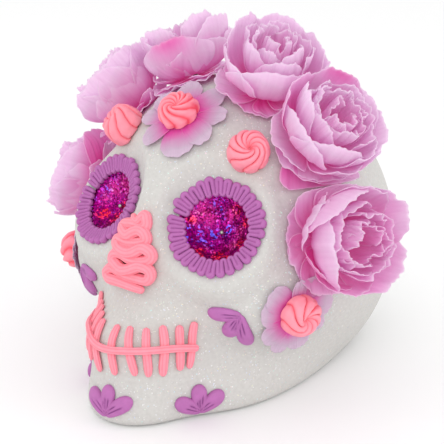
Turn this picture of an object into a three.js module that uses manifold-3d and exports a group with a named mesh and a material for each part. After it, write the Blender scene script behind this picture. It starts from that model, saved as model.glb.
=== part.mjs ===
// Flower-crowned sugar skull: a flat-based craft foam skull with piped icing trims,
// sequin cloth in the eye sockets, cloth blossoms and an arch of silk peonies.
// Units are millimetres, +Z is up, the face looks along -Y and +X is the skull's left.
// The origin lies on the table under the middle of the skull.
import * as THREE from 'three';
import { mergeVertices } from 'three/addons/utils/BufferGeometryUtils.js';
import Module from 'manifold-3d';

const wasm = await Module();
wasm.setup();

// driving dimensions, millimetres

// skull: height over the table, and a smooth blend of rounded masses.
// Places and half sizes are shares of the height, tilts are degrees about the X axis
const SKULL_HEIGHT = 186;
const CRANIUM_SHARES = { centre: [0, 0.2333, 0.4108], half: [0.4984, 0.528, 0.5973], tilt: 43.2 };
const FACE_SHARES = { centre: [0, -0.1323, 0.4194], half: [0.2812, 0.2382, 0.3226], tilt: 0 };
const CHEEK_SHARES = { centre: [0.2634, -0.093, 0.3763], half: [0.179, 0.1828, 0.172], tilt: 0 };
const MUZZLE_SHARES = { centre: [0, -0.2473, 0.1935], half: [0.2086, 0.2581, 0.1828], tilt: 0 };
const JAW_SHARES = { centre: [0, -0.2452, 0.0323], half: [0.2075, 0.2946, 0.1505], tilt: 0 };
const JAW_SIDE_SHARES = { centre: [0.1726, -0.0032, 0.043], half: [0.1866, 0.3, 0.1586], tilt: 0 };
const FACE_BLEND = 16;
const CHEEK_BLEND = 16;
const MUZZLE_BLEND = 14;
const JAW_BLEND = 16;
const JAW_SIDE_BLEND = 23.5;
const ORBIT_BLEND = 12;
const BASE_BLEND = 6;
const SKULL_HEART_SHARES = [0, 0.0806, 0.3656];
const RAY_REACH_SHARE = 1.02;
const NORMAL_STEP = 0.5;
const BASE_EDGE_LOW = 0.8;
const BASE_EDGE_HIGH = 6;
const BASE_INSET_SHARE = 0.95;
const SKULL_COLUMNS = 60;
const SKULL_ROWS = 17;

// gap kept between neighbouring pieces
const GAP = 0.3;
const SEAT_GAP = 0.36;
const CURVE_GAP = 0.25;

// eye sockets
const EYE_SHARES = [0.2124, -0.2366, 0.6075];
const EYE_TURN = 13;
const EYE_RISE = 36;
const ORBIT_RADIUS = 35;
const ORBIT_HALF_HEIGHT = 16;
const ORBIT_DEPTH = 15;
const SOCKET_RADIUS = 24;
const SOCKET_LIFT = 13;
const SOCKET_COLUMNS = 24;
const FOIL_GAP = 0.6;
const FOIL_THICKNESS = 0.8;
const FOIL_COLUMNS = 16;
const FOIL_RIM_ANGLE = 62;
const FOIL_ROW_SHARES = [0, 0.3, 0.65, 1];

// bead-headed pins
const PIN_RADIUS = 0.5;
const PIN_DEPTH = 17;
const PIN_HOLE_RADIUS = 0.85;
const PIN_HOLE_DEPTH = 19;
const BEAD_RADIUS = 1.5;
const PIN_COLUMNS = 8;

// piped eye rims: a strand folded to and fro round the socket
const RIM_INNER = 18;
const RIM_OUTER = 28.6;
const RIM_HEIGHT = 3.2;
const RIM_LOOPS = 26;
const RIM_NOTCH = 2.2;
const RIM_LIFT = 0.45;
const RIM_SHOULDER = 1.3;
const RIM_SHOULDER_SHARE = 0.55;
const RIM_BREAK_WIDTH = 0.7;
const RIM_BREAK_LENGTH = 40;

// piped nose: a strand laid to and fro, as rows across the face from its foot to its top,
// each [height, left edge, right edge] as shares of the skull's height and its fullness
const NOSE_ROW_SHARES = [
  [0.4075, 0.0269, 0.0538, 0.6], [0.4167, -0.0726, 0.0618, 0.72], [0.4401, -0.1258, 0.0672, 0.95],
  [0.4677, -0.0968, 0.0699, 0.7], [0.4952, -0.0978, 0.0812, 1], [0.5188, -0.0726, 0.0618, 0.7],
  [0.5425, -0.0828, 0.0774, 1], [0.5645, -0.0645, 0.0484, 0.7], [0.586, -0.0806, 0.0581, 0.95],
  [0.6054, -0.0565, 0.043, 0.7], [0.6253, -0.0484, 0.0565, 0.9], [0.6425, -0.0376, 0.0511, 0.65],
];
const NOSE_HEIGHT = 4.6;
const NOSE_ARC_SHARES = [[0, 0], [0.03, 0.55], [0.22, 0.95], [0.5, 1], [0.78, 0.95], [0.97, 0.55], [1, 0]];
const NOSE_END_SHARE = 0.01;

// mouth: eleven upright strands and one strand laid across them; directions are degrees
// round an upright axis in the jaw, heights are shares of the skull's height
const MOUTH_AXIS_SHARE = -0.2688;
const TOOTH_LINE_SHARES = [
  { top: -76, bottom: -66, high: 0.3253, low: 0.1806 },
  { top: -62, bottom: -54, high: 0.3151, low: 0.1817 },
  { top: -49, bottom: -39, high: 0.3145, low: 0.172 },
  { top: -36, bottom: -23, high: 0.3091, low: 0.172 },
  { top: -24, bottom: -8, high: 0.3011, low: 0.1613 },
  { top: -1.5, bottom: 6, high: 0.3065, low: 0.1694 },
  { top: 11.5, bottom: 21.5, high: 0.3097, low: 0.1774 },
  { top: 27.5, bottom: 31, high: 0.3091, low: 0.1737 },
  { top: 43.5, bottom: 42, high: 0.3156, low: 0.172 },
  { top: 61, bottom: 56, high: 0.3151, low: 0.1817 },
  { top: 75, bottom: 64, high: 0.3253, low: 0.1806 },
];
const TOOTH_HALF_WIDTH = 2.5;
const TOOTH_HEIGHT = 2.8;
const TOOTH_STATION_SHARES = [0, 0.09, 0.38, 0.66, 0.92, 1];
const TOOTH_WIDTH_SHARES = [0.45, 0.9, 1, 1, 0.85, 0.4];
const BAR_POINT_SHARES = [
  [-80, 0.2419], [-66, 0.2473], [-50, 0.2527], [-34, 0.2516], [-20, 0.2452], [-8, 0.2409], [4, 0.2452],
  [16, 0.2505], [30, 0.2538], [44, 0.2543], [58, 0.2505], [70, 0.2441], [80, 0.2409],
];
const NOTCH_GAP = 0.36;
const BAR_HALF_WIDTH = 2.05;
const BAR_HALF_HEIGHT = 1.8;
const BAR_LIFT = 3.5;
const BAR_SIDES = 6;
const BAR_END_SHARE = 0.6;

// piped rosettes: swirled star-tip domes
const ROSETTE_SPOT_SHARES = {
  forehead: [-0.0134, -0.1167, 0.893],
  temple: [0.2323, -0.1091, 0.8129],
  cheek: [0.4366, -0.1435, 0.3575],
};
const ROSETTE_RADIUS = 12;
const ROSETTE_HEIGHT = 11.5;
const ROSETTE_LOBES = 9;
const ROSETTE_LOBE_SHARE = 0.08;
const ROSETTE_TWIST = 75;
const ROSETTE_ROW_SHARES = [[0, 0.92], [0.18, 1], [0.44, 0.96], [0.7, 0.76], [0.9, 0.42]];
const ROSETTE_SAMPLES = 2;

// cloth blossoms under the forehead and cheek rosettes
const BLOSSOM_RADIUS = 27;
const BLOSSOM_PETALS = 9;
const BLOSSOM_VALLEY_SHARE = 0.6;
const BLOSSOM_LIFT = 5;
const BLOSSOM_OFFSET = 0.85;
const BLOSSOM_THICKNESS = 0.7;
const BLOSSOM_FLAT_RADIUS = 13.5;
const CLOTH_CLEARANCE = 0.95;
const BLOSSOM_ROW_SHARES = [0.5, 0.76, 1];

// three-petalled icing sprigs: root and the three tips on the skull, as shares of its height
const SPRIG_CHEEK_SHARES = {
  root: [0.3199, -0.2704, 0.3602],
  tips: [[0.2339, -0.3038, 0.364], [0.272, -0.2661, 0.2871], [0.3161, -0.2194, 0.2511]],
};
const SPRIG_CHIN_SHARES = {
  root: [0.0086, -0.5387, 0.0425],
  tips: [[-0.0704, -0.5081, 0.0876], [0.0005, -0.5129, 0.1226], [0.0753, -0.5027, 0.0941]],
};
const SPRIG_JAW_SHARES = {
  root: [0.2188, -0.3419, 0.0339],
  tips: [[0.1763, -0.4005, 0.0753], [0.2113, -0.3392, 0.114], [0.2602, -0.2839, 0.0839]],
};
const SPRIG_HALF_WIDTH = 4.3;
const SPRIG_HEIGHT = 2.9;
const SPRIG_OVERHANG = 1.2;
const SPRIG_COLUMNS = 8;
const SPRIG_ROWS = 5;

// silk peonies: middle of each flower, as shares of the skull's height
const PEONY_MIDDLE_SHARES = {
  left_crown: [0.1943, 0.0807, 1.0659],
  left_temple: [0.4355, 0.0473, 0.9215],
  left_ear: [0.5796, -0.0387, 0.5871],
  right_crown: [-0.2081, 0.1548, 1.0634],
  right_temple: [-0.4355, 0.0473, 0.9215],
  right_ear: [-0.5796, -0.0387, 0.5871],
};
const PEONY_MIDDLE_HEIGHT = 24;
const PEONY_LOBES = 5;
const PEONY_SAMPLES = 3;
const GUARD_RADIUS = 33;
const GUARD_HEIGHT = 13;
const GUARD_ROW_SHARES = [[0.13, 0], [0.27, 0.4], [0.54, 0.73], [1, 1]];
const GUARD_LOBE = 2.4;
const GUARD_RIM_WAVE = 2;
const CUP_RADIUS = 28.6;
const CUP_HEIGHT = 43;
const CUP_ROW_SHARES = [[0.1, 0], [0.2, 0.56], [0.42, 0.89], [0.72, 1], [1, 0.91]];
const CUP_LOBE = 1.4;
const CUP_RIM_WAVE = 2.6;
const PETAL_THICKNESS = 1.3;
const HEART_RADIUS = 21;
const HEART_HEIGHT = 46.5;
const HEART_ROW_SHARES = [[0.16, 0.19], [0.26, 0.62], [0.52, 0.98], [0.77, 1], [0.95, 0.69], [1, 0.29]];
const HEART_LOBE = 1.2;
const STEM_RADIUS = 1.5;
const STEM_HOLE_RADIUS = 1.85;
const STEM_DEPTH = 15;
const STEM_HOLE_DEPTH = 17;
const STEM_TOP = 6.5;
const CALYX_RADIUS = 5;
const CALYX_LOW = 0.45;
const CALYX_HIGH = 1.25;
const STEM_COLUMNS = 8;
const NEIGHBOUR_HALF_GAP = 0.2;

// small vector helpers

const add = (a, b) => a.map((v, i) => v + b[i]);
const sub = (a, b) => a.map((v, i) => v - b[i]);
const scale = (a, s) => a.map((v) => v * s);
const dot = (a, b) => a[0] * b[0] + a[1] * b[1] + a[2] * b[2];
const size = (a) => Math.hypot(...a);
const unit = (a) => scale(a, 1 / size(a));
const mix = (a, b, t) => a.map((v, i) => v + (b[i] - v) * t);
const cross = (a, b) => [
  a[1] * b[2] - a[2] * b[1],
  a[2] * b[0] - a[0] * b[2],
  a[0] * b[1] - a[1] * b[0],
];
const mirror = (a) => [-a[0], a[1], a[2]];
const rad = (degrees) => (degrees * Math.PI) / 180;
const onSkull = (shares) => scale(shares, SKULL_HEIGHT);

// the skull as a blended distance formula

const HEART_OF_SKULL = onSkull(SKULL_HEART_SHARES);

// signed distance estimate to a rounded mass, mirrored over the middle plane
function mass(point, { centre: centreShares, half: halfShares, tilt }) {
  const centre = onSkull(centreShares);
  const half = onSkull(halfShares);
  const x = (centre[0] ? Math.abs(point[0]) : point[0]) - centre[0];
  const c = Math.cos(rad(tilt));
  const s = Math.sin(rad(tilt));
  const dy = point[1] - centre[1];
  const dz = point[2] - centre[2];
  const q = [x, dy * c + dz * s, dz * c - dy * s];
  const near = Math.hypot(q[0] / half[0], q[1] / half[1], q[2] / half[2]);
  const far = Math.hypot(q[0] / half[0] ** 2, q[1] / half[1] ** 2, q[2] / half[2] ** 2);
  return (near * (near - 1)) / Math.max(far, Number.MIN_VALUE);
}

// smooth smaller of two distances over a blend length
function blend(a, b, length) {
  const h = Math.min(Math.max((length + b - a) / (2 * length), 0), 1);
  return b * (1 - h) + a * h - length * h * (1 - h);
}

// frame of one eye: side is 1 on the skull's left and -1 on its right
function eyeFrame(side) {
  const turn = rad(EYE_TURN) * side;
  const rise = rad(EYE_RISE);
  return {
    origin: onSkull([EYE_SHARES[0] * side, EYE_SHARES[1], EYE_SHARES[2]]),
    across: [Math.cos(turn), Math.sin(turn), 0],
    up: [-Math.sin(turn) * Math.sin(rise), Math.cos(turn) * Math.sin(rise), Math.cos(rise)],
    out: [Math.sin(turn) * Math.cos(rise), -Math.cos(turn) * Math.cos(rise), Math.sin(rise)],
  };
}

const LEFT_EYE = eyeFrame(1);

// flattened pad that gives each eye rim an even seat
function orbit(point) {
  const centre = sub(LEFT_EYE.origin, scale(LEFT_EYE.out, ORBIT_DEPTH));
  const q = sub([Math.abs(point[0]), point[1], point[2]], centre);
  const h = dot(q, LEFT_EYE.out);
  const r = Math.sqrt(Math.max(dot(q, q) - h * h, 0));
  const near = Math.hypot(r / ORBIT_RADIUS, h / ORBIT_HALF_HEIGHT);
  const far = Math.hypot(r / ORBIT_RADIUS ** 2, h / ORBIT_HALF_HEIGHT ** 2);
  return (near * (near - 1)) / Math.max(far, Number.MIN_VALUE);
}

function skullDistance(point) {
  let d = mass(point, CRANIUM_SHARES);
  d = blend(d, mass(point, FACE_SHARES), FACE_BLEND);
  d = blend(d, mass(point, CHEEK_SHARES), CHEEK_BLEND);
  d = blend(d, mass(point, MUZZLE_SHARES), MUZZLE_BLEND);
  d = blend(d, mass(point, JAW_SHARES), JAW_BLEND);
  d = blend(d, mass(point, JAW_SIDE_SHARES), JAW_SIDE_BLEND);
  d = blend(d, orbit(point), ORBIT_BLEND);
  return -blend(-d, point[2], BASE_BLEND);
}

// where a ray that starts inside the skull leaves it
function surfaceFrom(start, direction) {
  const way = unit(direction);
  let low = 0;
  let high = SKULL_HEIGHT * RAY_REACH_SHARE;
  for (let i = 0; i < 40; i += 1) {
    const middle = (low + high) / 2;
    if (skullDistance(add(start, scale(way, middle))) < 0) low = middle;
    else high = middle;
  }
  return add(start, scale(way, low));
}

function surfaceNormal(point) {
  const slope = [0, 1, 2].map((axis) => {
    const ahead = [...point];
    const behind = [...point];
    ahead[axis] += NORMAL_STEP;
    behind[axis] -= NORMAL_STEP;
    return skullDistance(ahead) - skullDistance(behind);
  });
  return unit(slope);
}

// nearest skull point to a spot given near the surface
function seat(spot) {
  let p = [...spot];
  for (let i = 0; i < 12; i += 1) p = sub(p, scale(surfaceNormal(p), skullDistance(p)));
  return p;
}

// local frame standing on the skull at a spot, its up axis as near +Z as it can be
function seatFrame(spot) {
  const origin = seat(spot);
  const out = surfaceNormal(origin);
  const across = unit(cross([0, 0, 1], out));
  return { origin, across, up: cross(out, across), out };
}

const place = (frame, a, b, c) => add(
  add(frame.origin, scale(frame.out, c)),
  add(scale(frame.across, a), scale(frame.up, b)),
);

// solids from rings of points

function solid(points, faces) {
  const build = (tris) => new wasm.Manifold(new wasm.Mesh({
    numProp: 3,
    vertProperties: new Float32Array(points.flat()),
    triVerts: new Uint32Array(tris.flat()),
  }));
  const made = build(faces);
  if (made.volume() > 0) return made;
  return build(faces.map(([a, b, c]) => [a, c, b]));
}

// closed skin over rings of equal count; ends close on a middle point, or ring to ring
function loft(rings, { first, last, around } = {}) {
  const n = rings[0].length;
  const points = rings.flat();
  const faces = [];
  const bands = around ? rings.length : rings.length - 1;
  for (let i = 0; i < bands; i += 1) {
    const k = (i + 1) % rings.length;
    for (let j = 0; j < n; j += 1) {
      const m = (j + 1) % n;
      faces.push([i * n + j, i * n + m, k * n + m], [i * n + j, k * n + m, k * n + j]);
    }
  }
  if (!around) {
    const top = (rings.length - 1) * n;
    points.push(first, last);
    for (let j = 0; j < n; j += 1) {
      const m = (j + 1) % n;
      faces.push([m, j, points.length - 2], [top + j, top + m, points.length - 1]);
    }
  }
  return solid(points, faces);
}

const largest = (body) => body.decompose().reduce((a, b) => (b.volume() > a.volume() ? b : a));
const circle = (n, make) => Array.from({ length: n }, (_, j) => make((2 * Math.PI * j) / n, j));

// turned body in a local frame from rows of [height, radius]; ends on the axis
function turned(frame, rows, columns) {
  const rings = rows.slice(1, -1).map(([h, r]) => circle(columns, (t) => place(
    frame, r * Math.cos(t), r * Math.sin(t), h,
  )));
  return loft(rings, {
    first: place(frame, 0, 0, rows[0][0]),
    last: place(frame, 0, 0, rows[rows.length - 1][0]),
  });
}

// skull body, and the same skin grown by a distance

function skullRows() {
  const columns = circle(SKULL_COLUMNS, (t) => t);
  const at = (t, polar) => surfaceFrom(HEART_OF_SKULL, [
    Math.sin(polar) * Math.cos(t), Math.sin(polar) * Math.sin(t), Math.cos(polar),
  ]);
  const polarOfHeight = (t, height) => {
    let low = Math.PI / 2;
    let high = Math.PI;
    for (let i = 0; i < 30; i += 1) {
      const middle = (low + high) / 2;
      if (at(t, middle)[2] > height) low = middle;
      else high = middle;
    }
    return low;
  };
  const edge = columns.map((t) => at(t, polarOfHeight(t, BASE_EDGE_LOW)));
  const shoulder = columns.map((t) => polarOfHeight(t, BASE_EDGE_HIGH));
  const rings = [
    edge.map((p) => [...mix([HEART_OF_SKULL[0], HEART_OF_SKULL[1]], p, BASE_INSET_SHARE), 0]),
    edge,
  ];
  for (let i = 0; i < SKULL_ROWS; i += 1) {
    rings.push(columns.map((t, j) => at(t, shoulder[j] * (1 - i / SKULL_ROWS))));
  }
  return rings;
}

const SKULL_RINGS = skullRows();
const SKULL_FOOT = [HEART_OF_SKULL[0], HEART_OF_SKULL[1], 0];
const SKULL_TOP = surfaceFrom(HEART_OF_SKULL, [0, 0, 1]);

function grownSkull(distance) {
  const grow = (p) => add(p, scale(surfaceNormal(p), distance));
  const step = (p, i) => (i === 0 ? add(p, [0, 0, -distance]) : grow(p));
  const rings = SKULL_RINGS.map((ring, i) => ring.map((p) => step(p, i)));
  return loft(rings, { first: add(SKULL_FOOT, [0, 0, -distance]), last: grow(SKULL_TOP) });
}

const plainSkull = loft(SKULL_RINGS, { first: SKULL_FOOT, last: SKULL_TOP });
const seatCutter = grownSkull(SEAT_GAP);

function eyeSocket(eye) {
  const frame = { ...eye, origin: place(eye, 0, 0, SOCKET_LIFT) };
  const rows = Array.from({ length: SOCKET_COLUMNS / 2 + 1 }, (_, i) => {
    const polar = (2 * Math.PI * i) / SOCKET_COLUMNS;
    return [-SOCKET_RADIUS * Math.cos(polar), SOCKET_RADIUS * Math.sin(polar)];
  });
  return turned(frame, rows, SOCKET_COLUMNS);
}

const socketFloor = (eye) => ({ ...eye, origin: place(eye, 0, 0, SOCKET_LIFT - SOCKET_RADIUS) });

function pinHole(eye) {
  const rows = [
    [-PIN_HOLE_DEPTH, 0], [-PIN_HOLE_DEPTH, PIN_HOLE_RADIUS],
    [SOCKET_RADIUS, PIN_HOLE_RADIUS], [SOCKET_RADIUS, 0],
  ];
  return turned(socketFloor(eye), rows, PIN_COLUMNS);
}

function peonyFrame(spot) {
  const out = surfaceNormal(spot);
  const origin = sub(spot, scale(out, PEONY_MIDDLE_HEIGHT));
  const across = unit(cross([0, 0, 1], out));
  return { origin: seat(origin), across, up: cross(out, across), out };
}

function stemHole(frame) {
  const rows = [
    [-STEM_HOLE_DEPTH, 0], [-STEM_HOLE_DEPTH, STEM_HOLE_RADIUS],
    [PEONY_MIDDLE_HEIGHT, STEM_HOLE_RADIUS], [PEONY_MIDDLE_HEIGHT, 0],
  ];
  return turned(frame, rows, STEM_COLUMNS);
}

// pieces

const EYES = { left: LEFT_EYE, right: eyeFrame(-1) };
const PEONY_FRAMES = {};
for (const [name, shares] of Object.entries(PEONY_MIDDLE_SHARES)) {
  const middle = onSkull(shares);
  PEONY_FRAMES[name] = { ...peonyFrame(middle), middle };
}

function skullBody() {
  let body = plainSkull;
  for (const eye of Object.values(EYES)) body = body.subtract(eyeSocket(eye)).subtract(pinHole(eye));
  for (const frame of Object.values(PEONY_FRAMES)) body = body.subtract(stemHole(frame));
  return body;
}

// dished cloth disc lining the socket, with a hole for its pin
function eyeFoil(eye) {
  const frame = { ...eye, origin: place(eye, 0, 0, SOCKET_LIFT) };
  const outer = SOCKET_RADIUS - FOIL_GAP;
  const inner = outer - FOIL_THICKNESS;
  const start = Math.asin(PIN_HOLE_RADIUS / inner);
  const ring = (radius, share) => circle(FOIL_COLUMNS, (t) => {
    const polar = start + (rad(FOIL_RIM_ANGLE) - start) * share;
    const r = radius * Math.sin(polar);
    return place(frame, r * Math.cos(t), r * Math.sin(t), -radius * Math.cos(polar));
  });
  const rings = [
    ...FOIL_ROW_SHARES.map((share) => ring(outer, share)),
    ...[...FOIL_ROW_SHARES].reverse().map((share) => ring(inner, share)),
  ];
  return largest(loft(rings, { around: true }).intersect(plainSkull));
}

function eyePin(eye) {
  const floor = FOIL_GAP + FOIL_THICKNESS + GAP;
  const neck = floor + BEAD_RADIUS - Math.sqrt(BEAD_RADIUS ** 2 - PIN_RADIUS ** 2);
  const bead = [-45, 0, 45].map((a) => [
    floor + BEAD_RADIUS + BEAD_RADIUS * Math.sin(rad(a)), BEAD_RADIUS * Math.cos(rad(a)),
  ]);
  const rows = [
    [-PIN_DEPTH, 0], [-PIN_DEPTH + PIN_RADIUS, PIN_RADIUS], [neck, PIN_RADIUS],
    ...bead, [floor + 2 * BEAD_RADIUS, 0],
  ];
  return turned(socketFloor(eye), rows, PIN_COLUMNS);
}

// height of the plain skull over the eye plane at one place of the eye frame
function rimGround(eye, a, b) {
  let p = place(eye, a, b, 0);
  for (let i = 0; i < 8; i += 1) p = sub(p, scale(eye.out, skullDistance(p)));
  return dot(sub(p, eye.origin), eye.out);
}

// folded strand as one ring: loops swell outwards, the turns between them inwards
function eyeRim(eye) {
  const columns = circle(RIM_LOOPS * 2, (t, j) => {
    const inner = RIM_INNER + (j % 2 === 0 ? RIM_NOTCH : 0);
    const outer = RIM_OUTER - (j % 2 === 0 ? 0 : RIM_NOTCH);
    const a = Math.cos(t);
    const b = Math.sin(t);
    const groundIn = rimGround(eye, inner * a, inner * b);
    const groundOut = rimGround(eye, outer * a, outer * b);
    const point = (r, h) => place(eye, r * a, r * b, h);
    const low = SEAT_GAP + RIM_LIFT;
    const shoulder = low + (RIM_HEIGHT - low) * RIM_SHOULDER_SHARE;
    return [
      point(inner, groundIn + low),
      point(outer, groundOut + low),
      point(outer, groundOut + shoulder),
      point(outer - RIM_SHOULDER, groundOut + RIM_HEIGHT),
      point(inner + RIM_SHOULDER, groundIn + RIM_HEIGHT),
      point(inner, groundIn + shoulder),
    ];
  });
  const gapRing = [
    [-RIM_BREAK_LENGTH, -RIM_BREAK_WIDTH / 2], [0, -RIM_BREAK_WIDTH / 2],
    [0, RIM_BREAK_WIDTH / 2], [-RIM_BREAK_LENGTH, RIM_BREAK_WIDTH / 2],
  ];
  const gapAt = (h) => gapRing.map(([a, b]) => place(eye, a, b, h));
  const slot = loft([-RIM_BREAK_LENGTH, RIM_BREAK_LENGTH].map(gapAt), {
    first: place(eye, -RIM_BREAK_LENGTH / 2, 0, -RIM_BREAK_LENGTH),
    last: place(eye, -RIM_BREAK_LENGTH / 2, 0, RIM_BREAK_LENGTH),
  });
  return largest(loft(columns, { around: true }).subtract(slot));
}

const frontSpot = (x, z) => surfaceFrom(onSkull([x, 0, z]), [0, -1, 0]);

// nose strand as one ribbed body, each row an arch from its left to its right edge
function nosePiping() {
  const low = SEAT_GAP + CURVE_GAP;
  const lift = (p, h) => add(p, scale(surfaceNormal(p), h));
  const rings = NOSE_ROW_SHARES.map(([z, left, right, full]) => [
    ...NOSE_ARC_SHARES.map(([t, h]) => (
      lift(frontSpot(left + (right - left) * t, z), low + NOSE_HEIGHT * full * h)
    )),
    lift(frontSpot((left + right) / 2, z), low),
  ]);
  const end = ([z, left, right], step) => (
    lift(frontSpot((left + right) / 2, z + step), low + NOSE_HEIGHT / 2)
  );
  const body = loft(rings, {
    first: end(NOSE_ROW_SHARES[0], -NOSE_END_SHARE),
    last: end(NOSE_ROW_SHARES[NOSE_ROW_SHARES.length - 1], NOSE_END_SHARE),
  });
  return largest(body.subtract(seatCutter));
}

function mouthSpot(angle, heightShare) {
  const start = onSkull([0, MOUTH_AXIS_SHARE, heightShare]);
  return surfaceFrom(start, [Math.sin(rad(angle)), -Math.cos(rad(angle)), 0]);
}

// mouth strand, wider than high; grow widens it for the notches it leaves in the teeth
function mouthBar(grow) {
  const points = BAR_POINT_SHARES.map(([angle, heightShare]) => {
    const p = mouthSpot(angle, heightShare);
    return add(p, scale(surfaceNormal(p), BAR_LIFT));
  });
  const last = points.length - 1;
  const along = points.map((p, i) => unit(sub(points[Math.min(i + 1, last)], points[Math.max(i - 1, 0)])));
  const ring = (i, shift, share) => {
    const side = unit(cross(along[i], surfaceNormal(points[i])));
    const out = cross(side, along[i]);
    const middle = add(points[i], scale(along[i], shift));
    return circle(BAR_SIDES, (t) => add(middle, add(
      scale(side, (BAR_HALF_WIDTH * share + grow) * Math.cos(t)),
      scale(out, (BAR_HALF_HEIGHT * share + grow) * Math.sin(t)),
    )));
  };
  const rings = [
    ring(0, -BAR_HALF_WIDTH * BAR_END_SHARE - grow, BAR_END_SHARE),
    ...points.map((_, i) => ring(i, 0, 1)),
    ring(last, BAR_HALF_WIDTH * BAR_END_SHARE + grow, BAR_END_SHARE),
  ];
  return loft(rings, {
    first: sub(points[0], scale(along[0], BAR_HALF_WIDTH + grow)),
    last: add(points[last], scale(along[last], BAR_HALF_WIDTH + grow)),
  });
}

// one upright mouth strand, flattened underneath and notched where the mouth strand lies on it
function tooth({ top, bottom, high, low }) {
  const points = TOOTH_STATION_SHARES.map((share) => (
    mouthSpot(top + (bottom - top) * share, high + (low - high) * share)
  ));
  const last = points.length - 1;
  const rings = points.map((p, i) => {
    const along = unit(sub(points[Math.min(i + 1, last)], points[Math.max(i - 1, 0)]));
    const out = surfaceNormal(p);
    const side = unit(cross(along, out));
    const w = TOOTH_HALF_WIDTH * TOOTH_WIDTH_SHARES[i];
    const h = TOOTH_HEIGHT * (0.4 + 0.6 * TOOTH_WIDTH_SHARES[i]);
    const spot = (a, b) => add(p, add(scale(side, a), scale(out, b)));
    const low = SEAT_GAP + CURVE_GAP;
    return [
      spot(-w, low), spot(w, low), spot(w, h / 2),
      spot(w / 2, h), spot(-w / 2, h), spot(-w, h / 2),
    ];
  });
  const middleOf = (ring) => scale(ring.reduce(add), 1 / ring.length);
  return largest(loft(rings, { first: middleOf(rings[0]), last: middleOf(rings[last]) })
    .subtract(seatCutter).subtract(mouthBar(NOTCH_GAP)));
}

// swirled dome: lobes turn round the middle while they rise; base is its height on the skull
function rosette(spotShares, base) {
  const frame = seatFrame(onSkull(spotShares));
  const n = ROSETTE_LOBES * ROSETTE_SAMPLES;
  const rings = ROSETTE_ROW_SHARES.map(([rise, reach]) => circle(n, (t) => {
    const lobe = 1 + ROSETTE_LOBE_SHARE * Math.cos(ROSETTE_LOBES * t);
    const r = ROSETTE_RADIUS * reach * lobe;
    const turn = t + rad(ROSETTE_TWIST) * rise;
    const spot = place(frame, r * Math.cos(turn), r * Math.sin(turn), 0);
    if (rise > 0) return add(spot, scale(frame.out, base + (ROSETTE_HEIGHT - base) * rise));
    const foot = seat(spot);
    return add(foot, scale(surfaceNormal(foot), base));
  }));
  return loft(rings, { first: place(frame, 0, 0, base), last: place(frame, 0, 0, ROSETTE_HEIGHT) });
}

// thin lobed cloth disc that follows the skull and lifts towards its petal tips; grow
// fattens it all round for the clearance it leaves in a petal that reaches over it
function blossom(spotShares, grow) {
  const frame = seatFrame(onSkull(spotShares));
  const n = BLOSSOM_PETALS * 3;
  const at = (t, j, share, extra) => {
    const edge = j % 3 === 0 ? BLOSSOM_VALLEY_SHARE : 1;
    const r = (BLOSSOM_RADIUS + grow) * share * (share > BLOSSOM_VALLEY_SHARE ? edge : 1);
    const p = seat(place(frame, r * Math.cos(t), r * Math.sin(t), 0));
    const beyond = Math.max(r - BLOSSOM_FLAT_RADIUS, 0) / (BLOSSOM_RADIUS - BLOSSOM_FLAT_RADIUS);
    return add(p, scale(surfaceNormal(p), BLOSSOM_OFFSET + extra + BLOSSOM_LIFT * beyond ** 2));
  };
  const ring = (share, extra) => circle(n, (t, j) => at(t, j, share, extra));
  const rings = [
    ...BLOSSOM_ROW_SHARES.map((share) => ring(share, -grow)),
    ...[...BLOSSOM_ROW_SHARES].reverse().map((share) => ring(share, BLOSSOM_THICKNESS + grow)),
  ];
  const middle = (extra) => add(frame.origin, scale(frame.out, BLOSSOM_OFFSET + extra));
  return loft(rings, { first: middle(-grow), last: middle(BLOSSOM_THICKNESS + grow) });
}

// three flattened drops that meet at a common root
function sprig({ root, tips }) {
  let body = null;
  for (const tip of tips) {
    const foot = seat(onSkull(root));
    const head = seat(onSkull(tip));
    const middle = seat(mix(foot, head, 0.5));
    const out = surfaceNormal(middle);
    const along = unit(sub(head, foot));
    const side = unit(cross(out, along));
    const half = size(sub(head, foot)) / 2 + SPRIG_OVERHANG;
    const frame = { origin: middle, across: side, up: unit(cross(along, side)), out: along };
    const rings = Array.from({ length: SPRIG_ROWS - 1 }, (_, i) => {
      const polar = (Math.PI * (i + 1)) / SPRIG_ROWS;
      const fat = Math.sin(polar) * (1 - 0.25 * Math.cos(polar));
      return circle(SPRIG_COLUMNS, (t) => place(
        frame,
        SPRIG_HALF_WIDTH * fat * Math.cos(t),
        SPRIG_HEIGHT * Math.sin(polar) * Math.sin(t),
        -half * Math.cos(polar),
      ));
    });
    const drop = loft(rings, { first: place(frame, 0, 0, -half), last: place(frame, 0, 0, half) });
    body = body ? body.add(drop) : drop;
  }
  return largest(body.subtract(seatCutter));
}

const GUARD = { height: GUARD_HEIGHT, radius: GUARD_RADIUS, lobe: GUARD_LOBE, wave: GUARD_RIM_WAVE };
const CUP = { height: CUP_HEIGHT, radius: CUP_RADIUS, lobe: CUP_LOBE, wave: CUP_RIM_WAVE };

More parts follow.
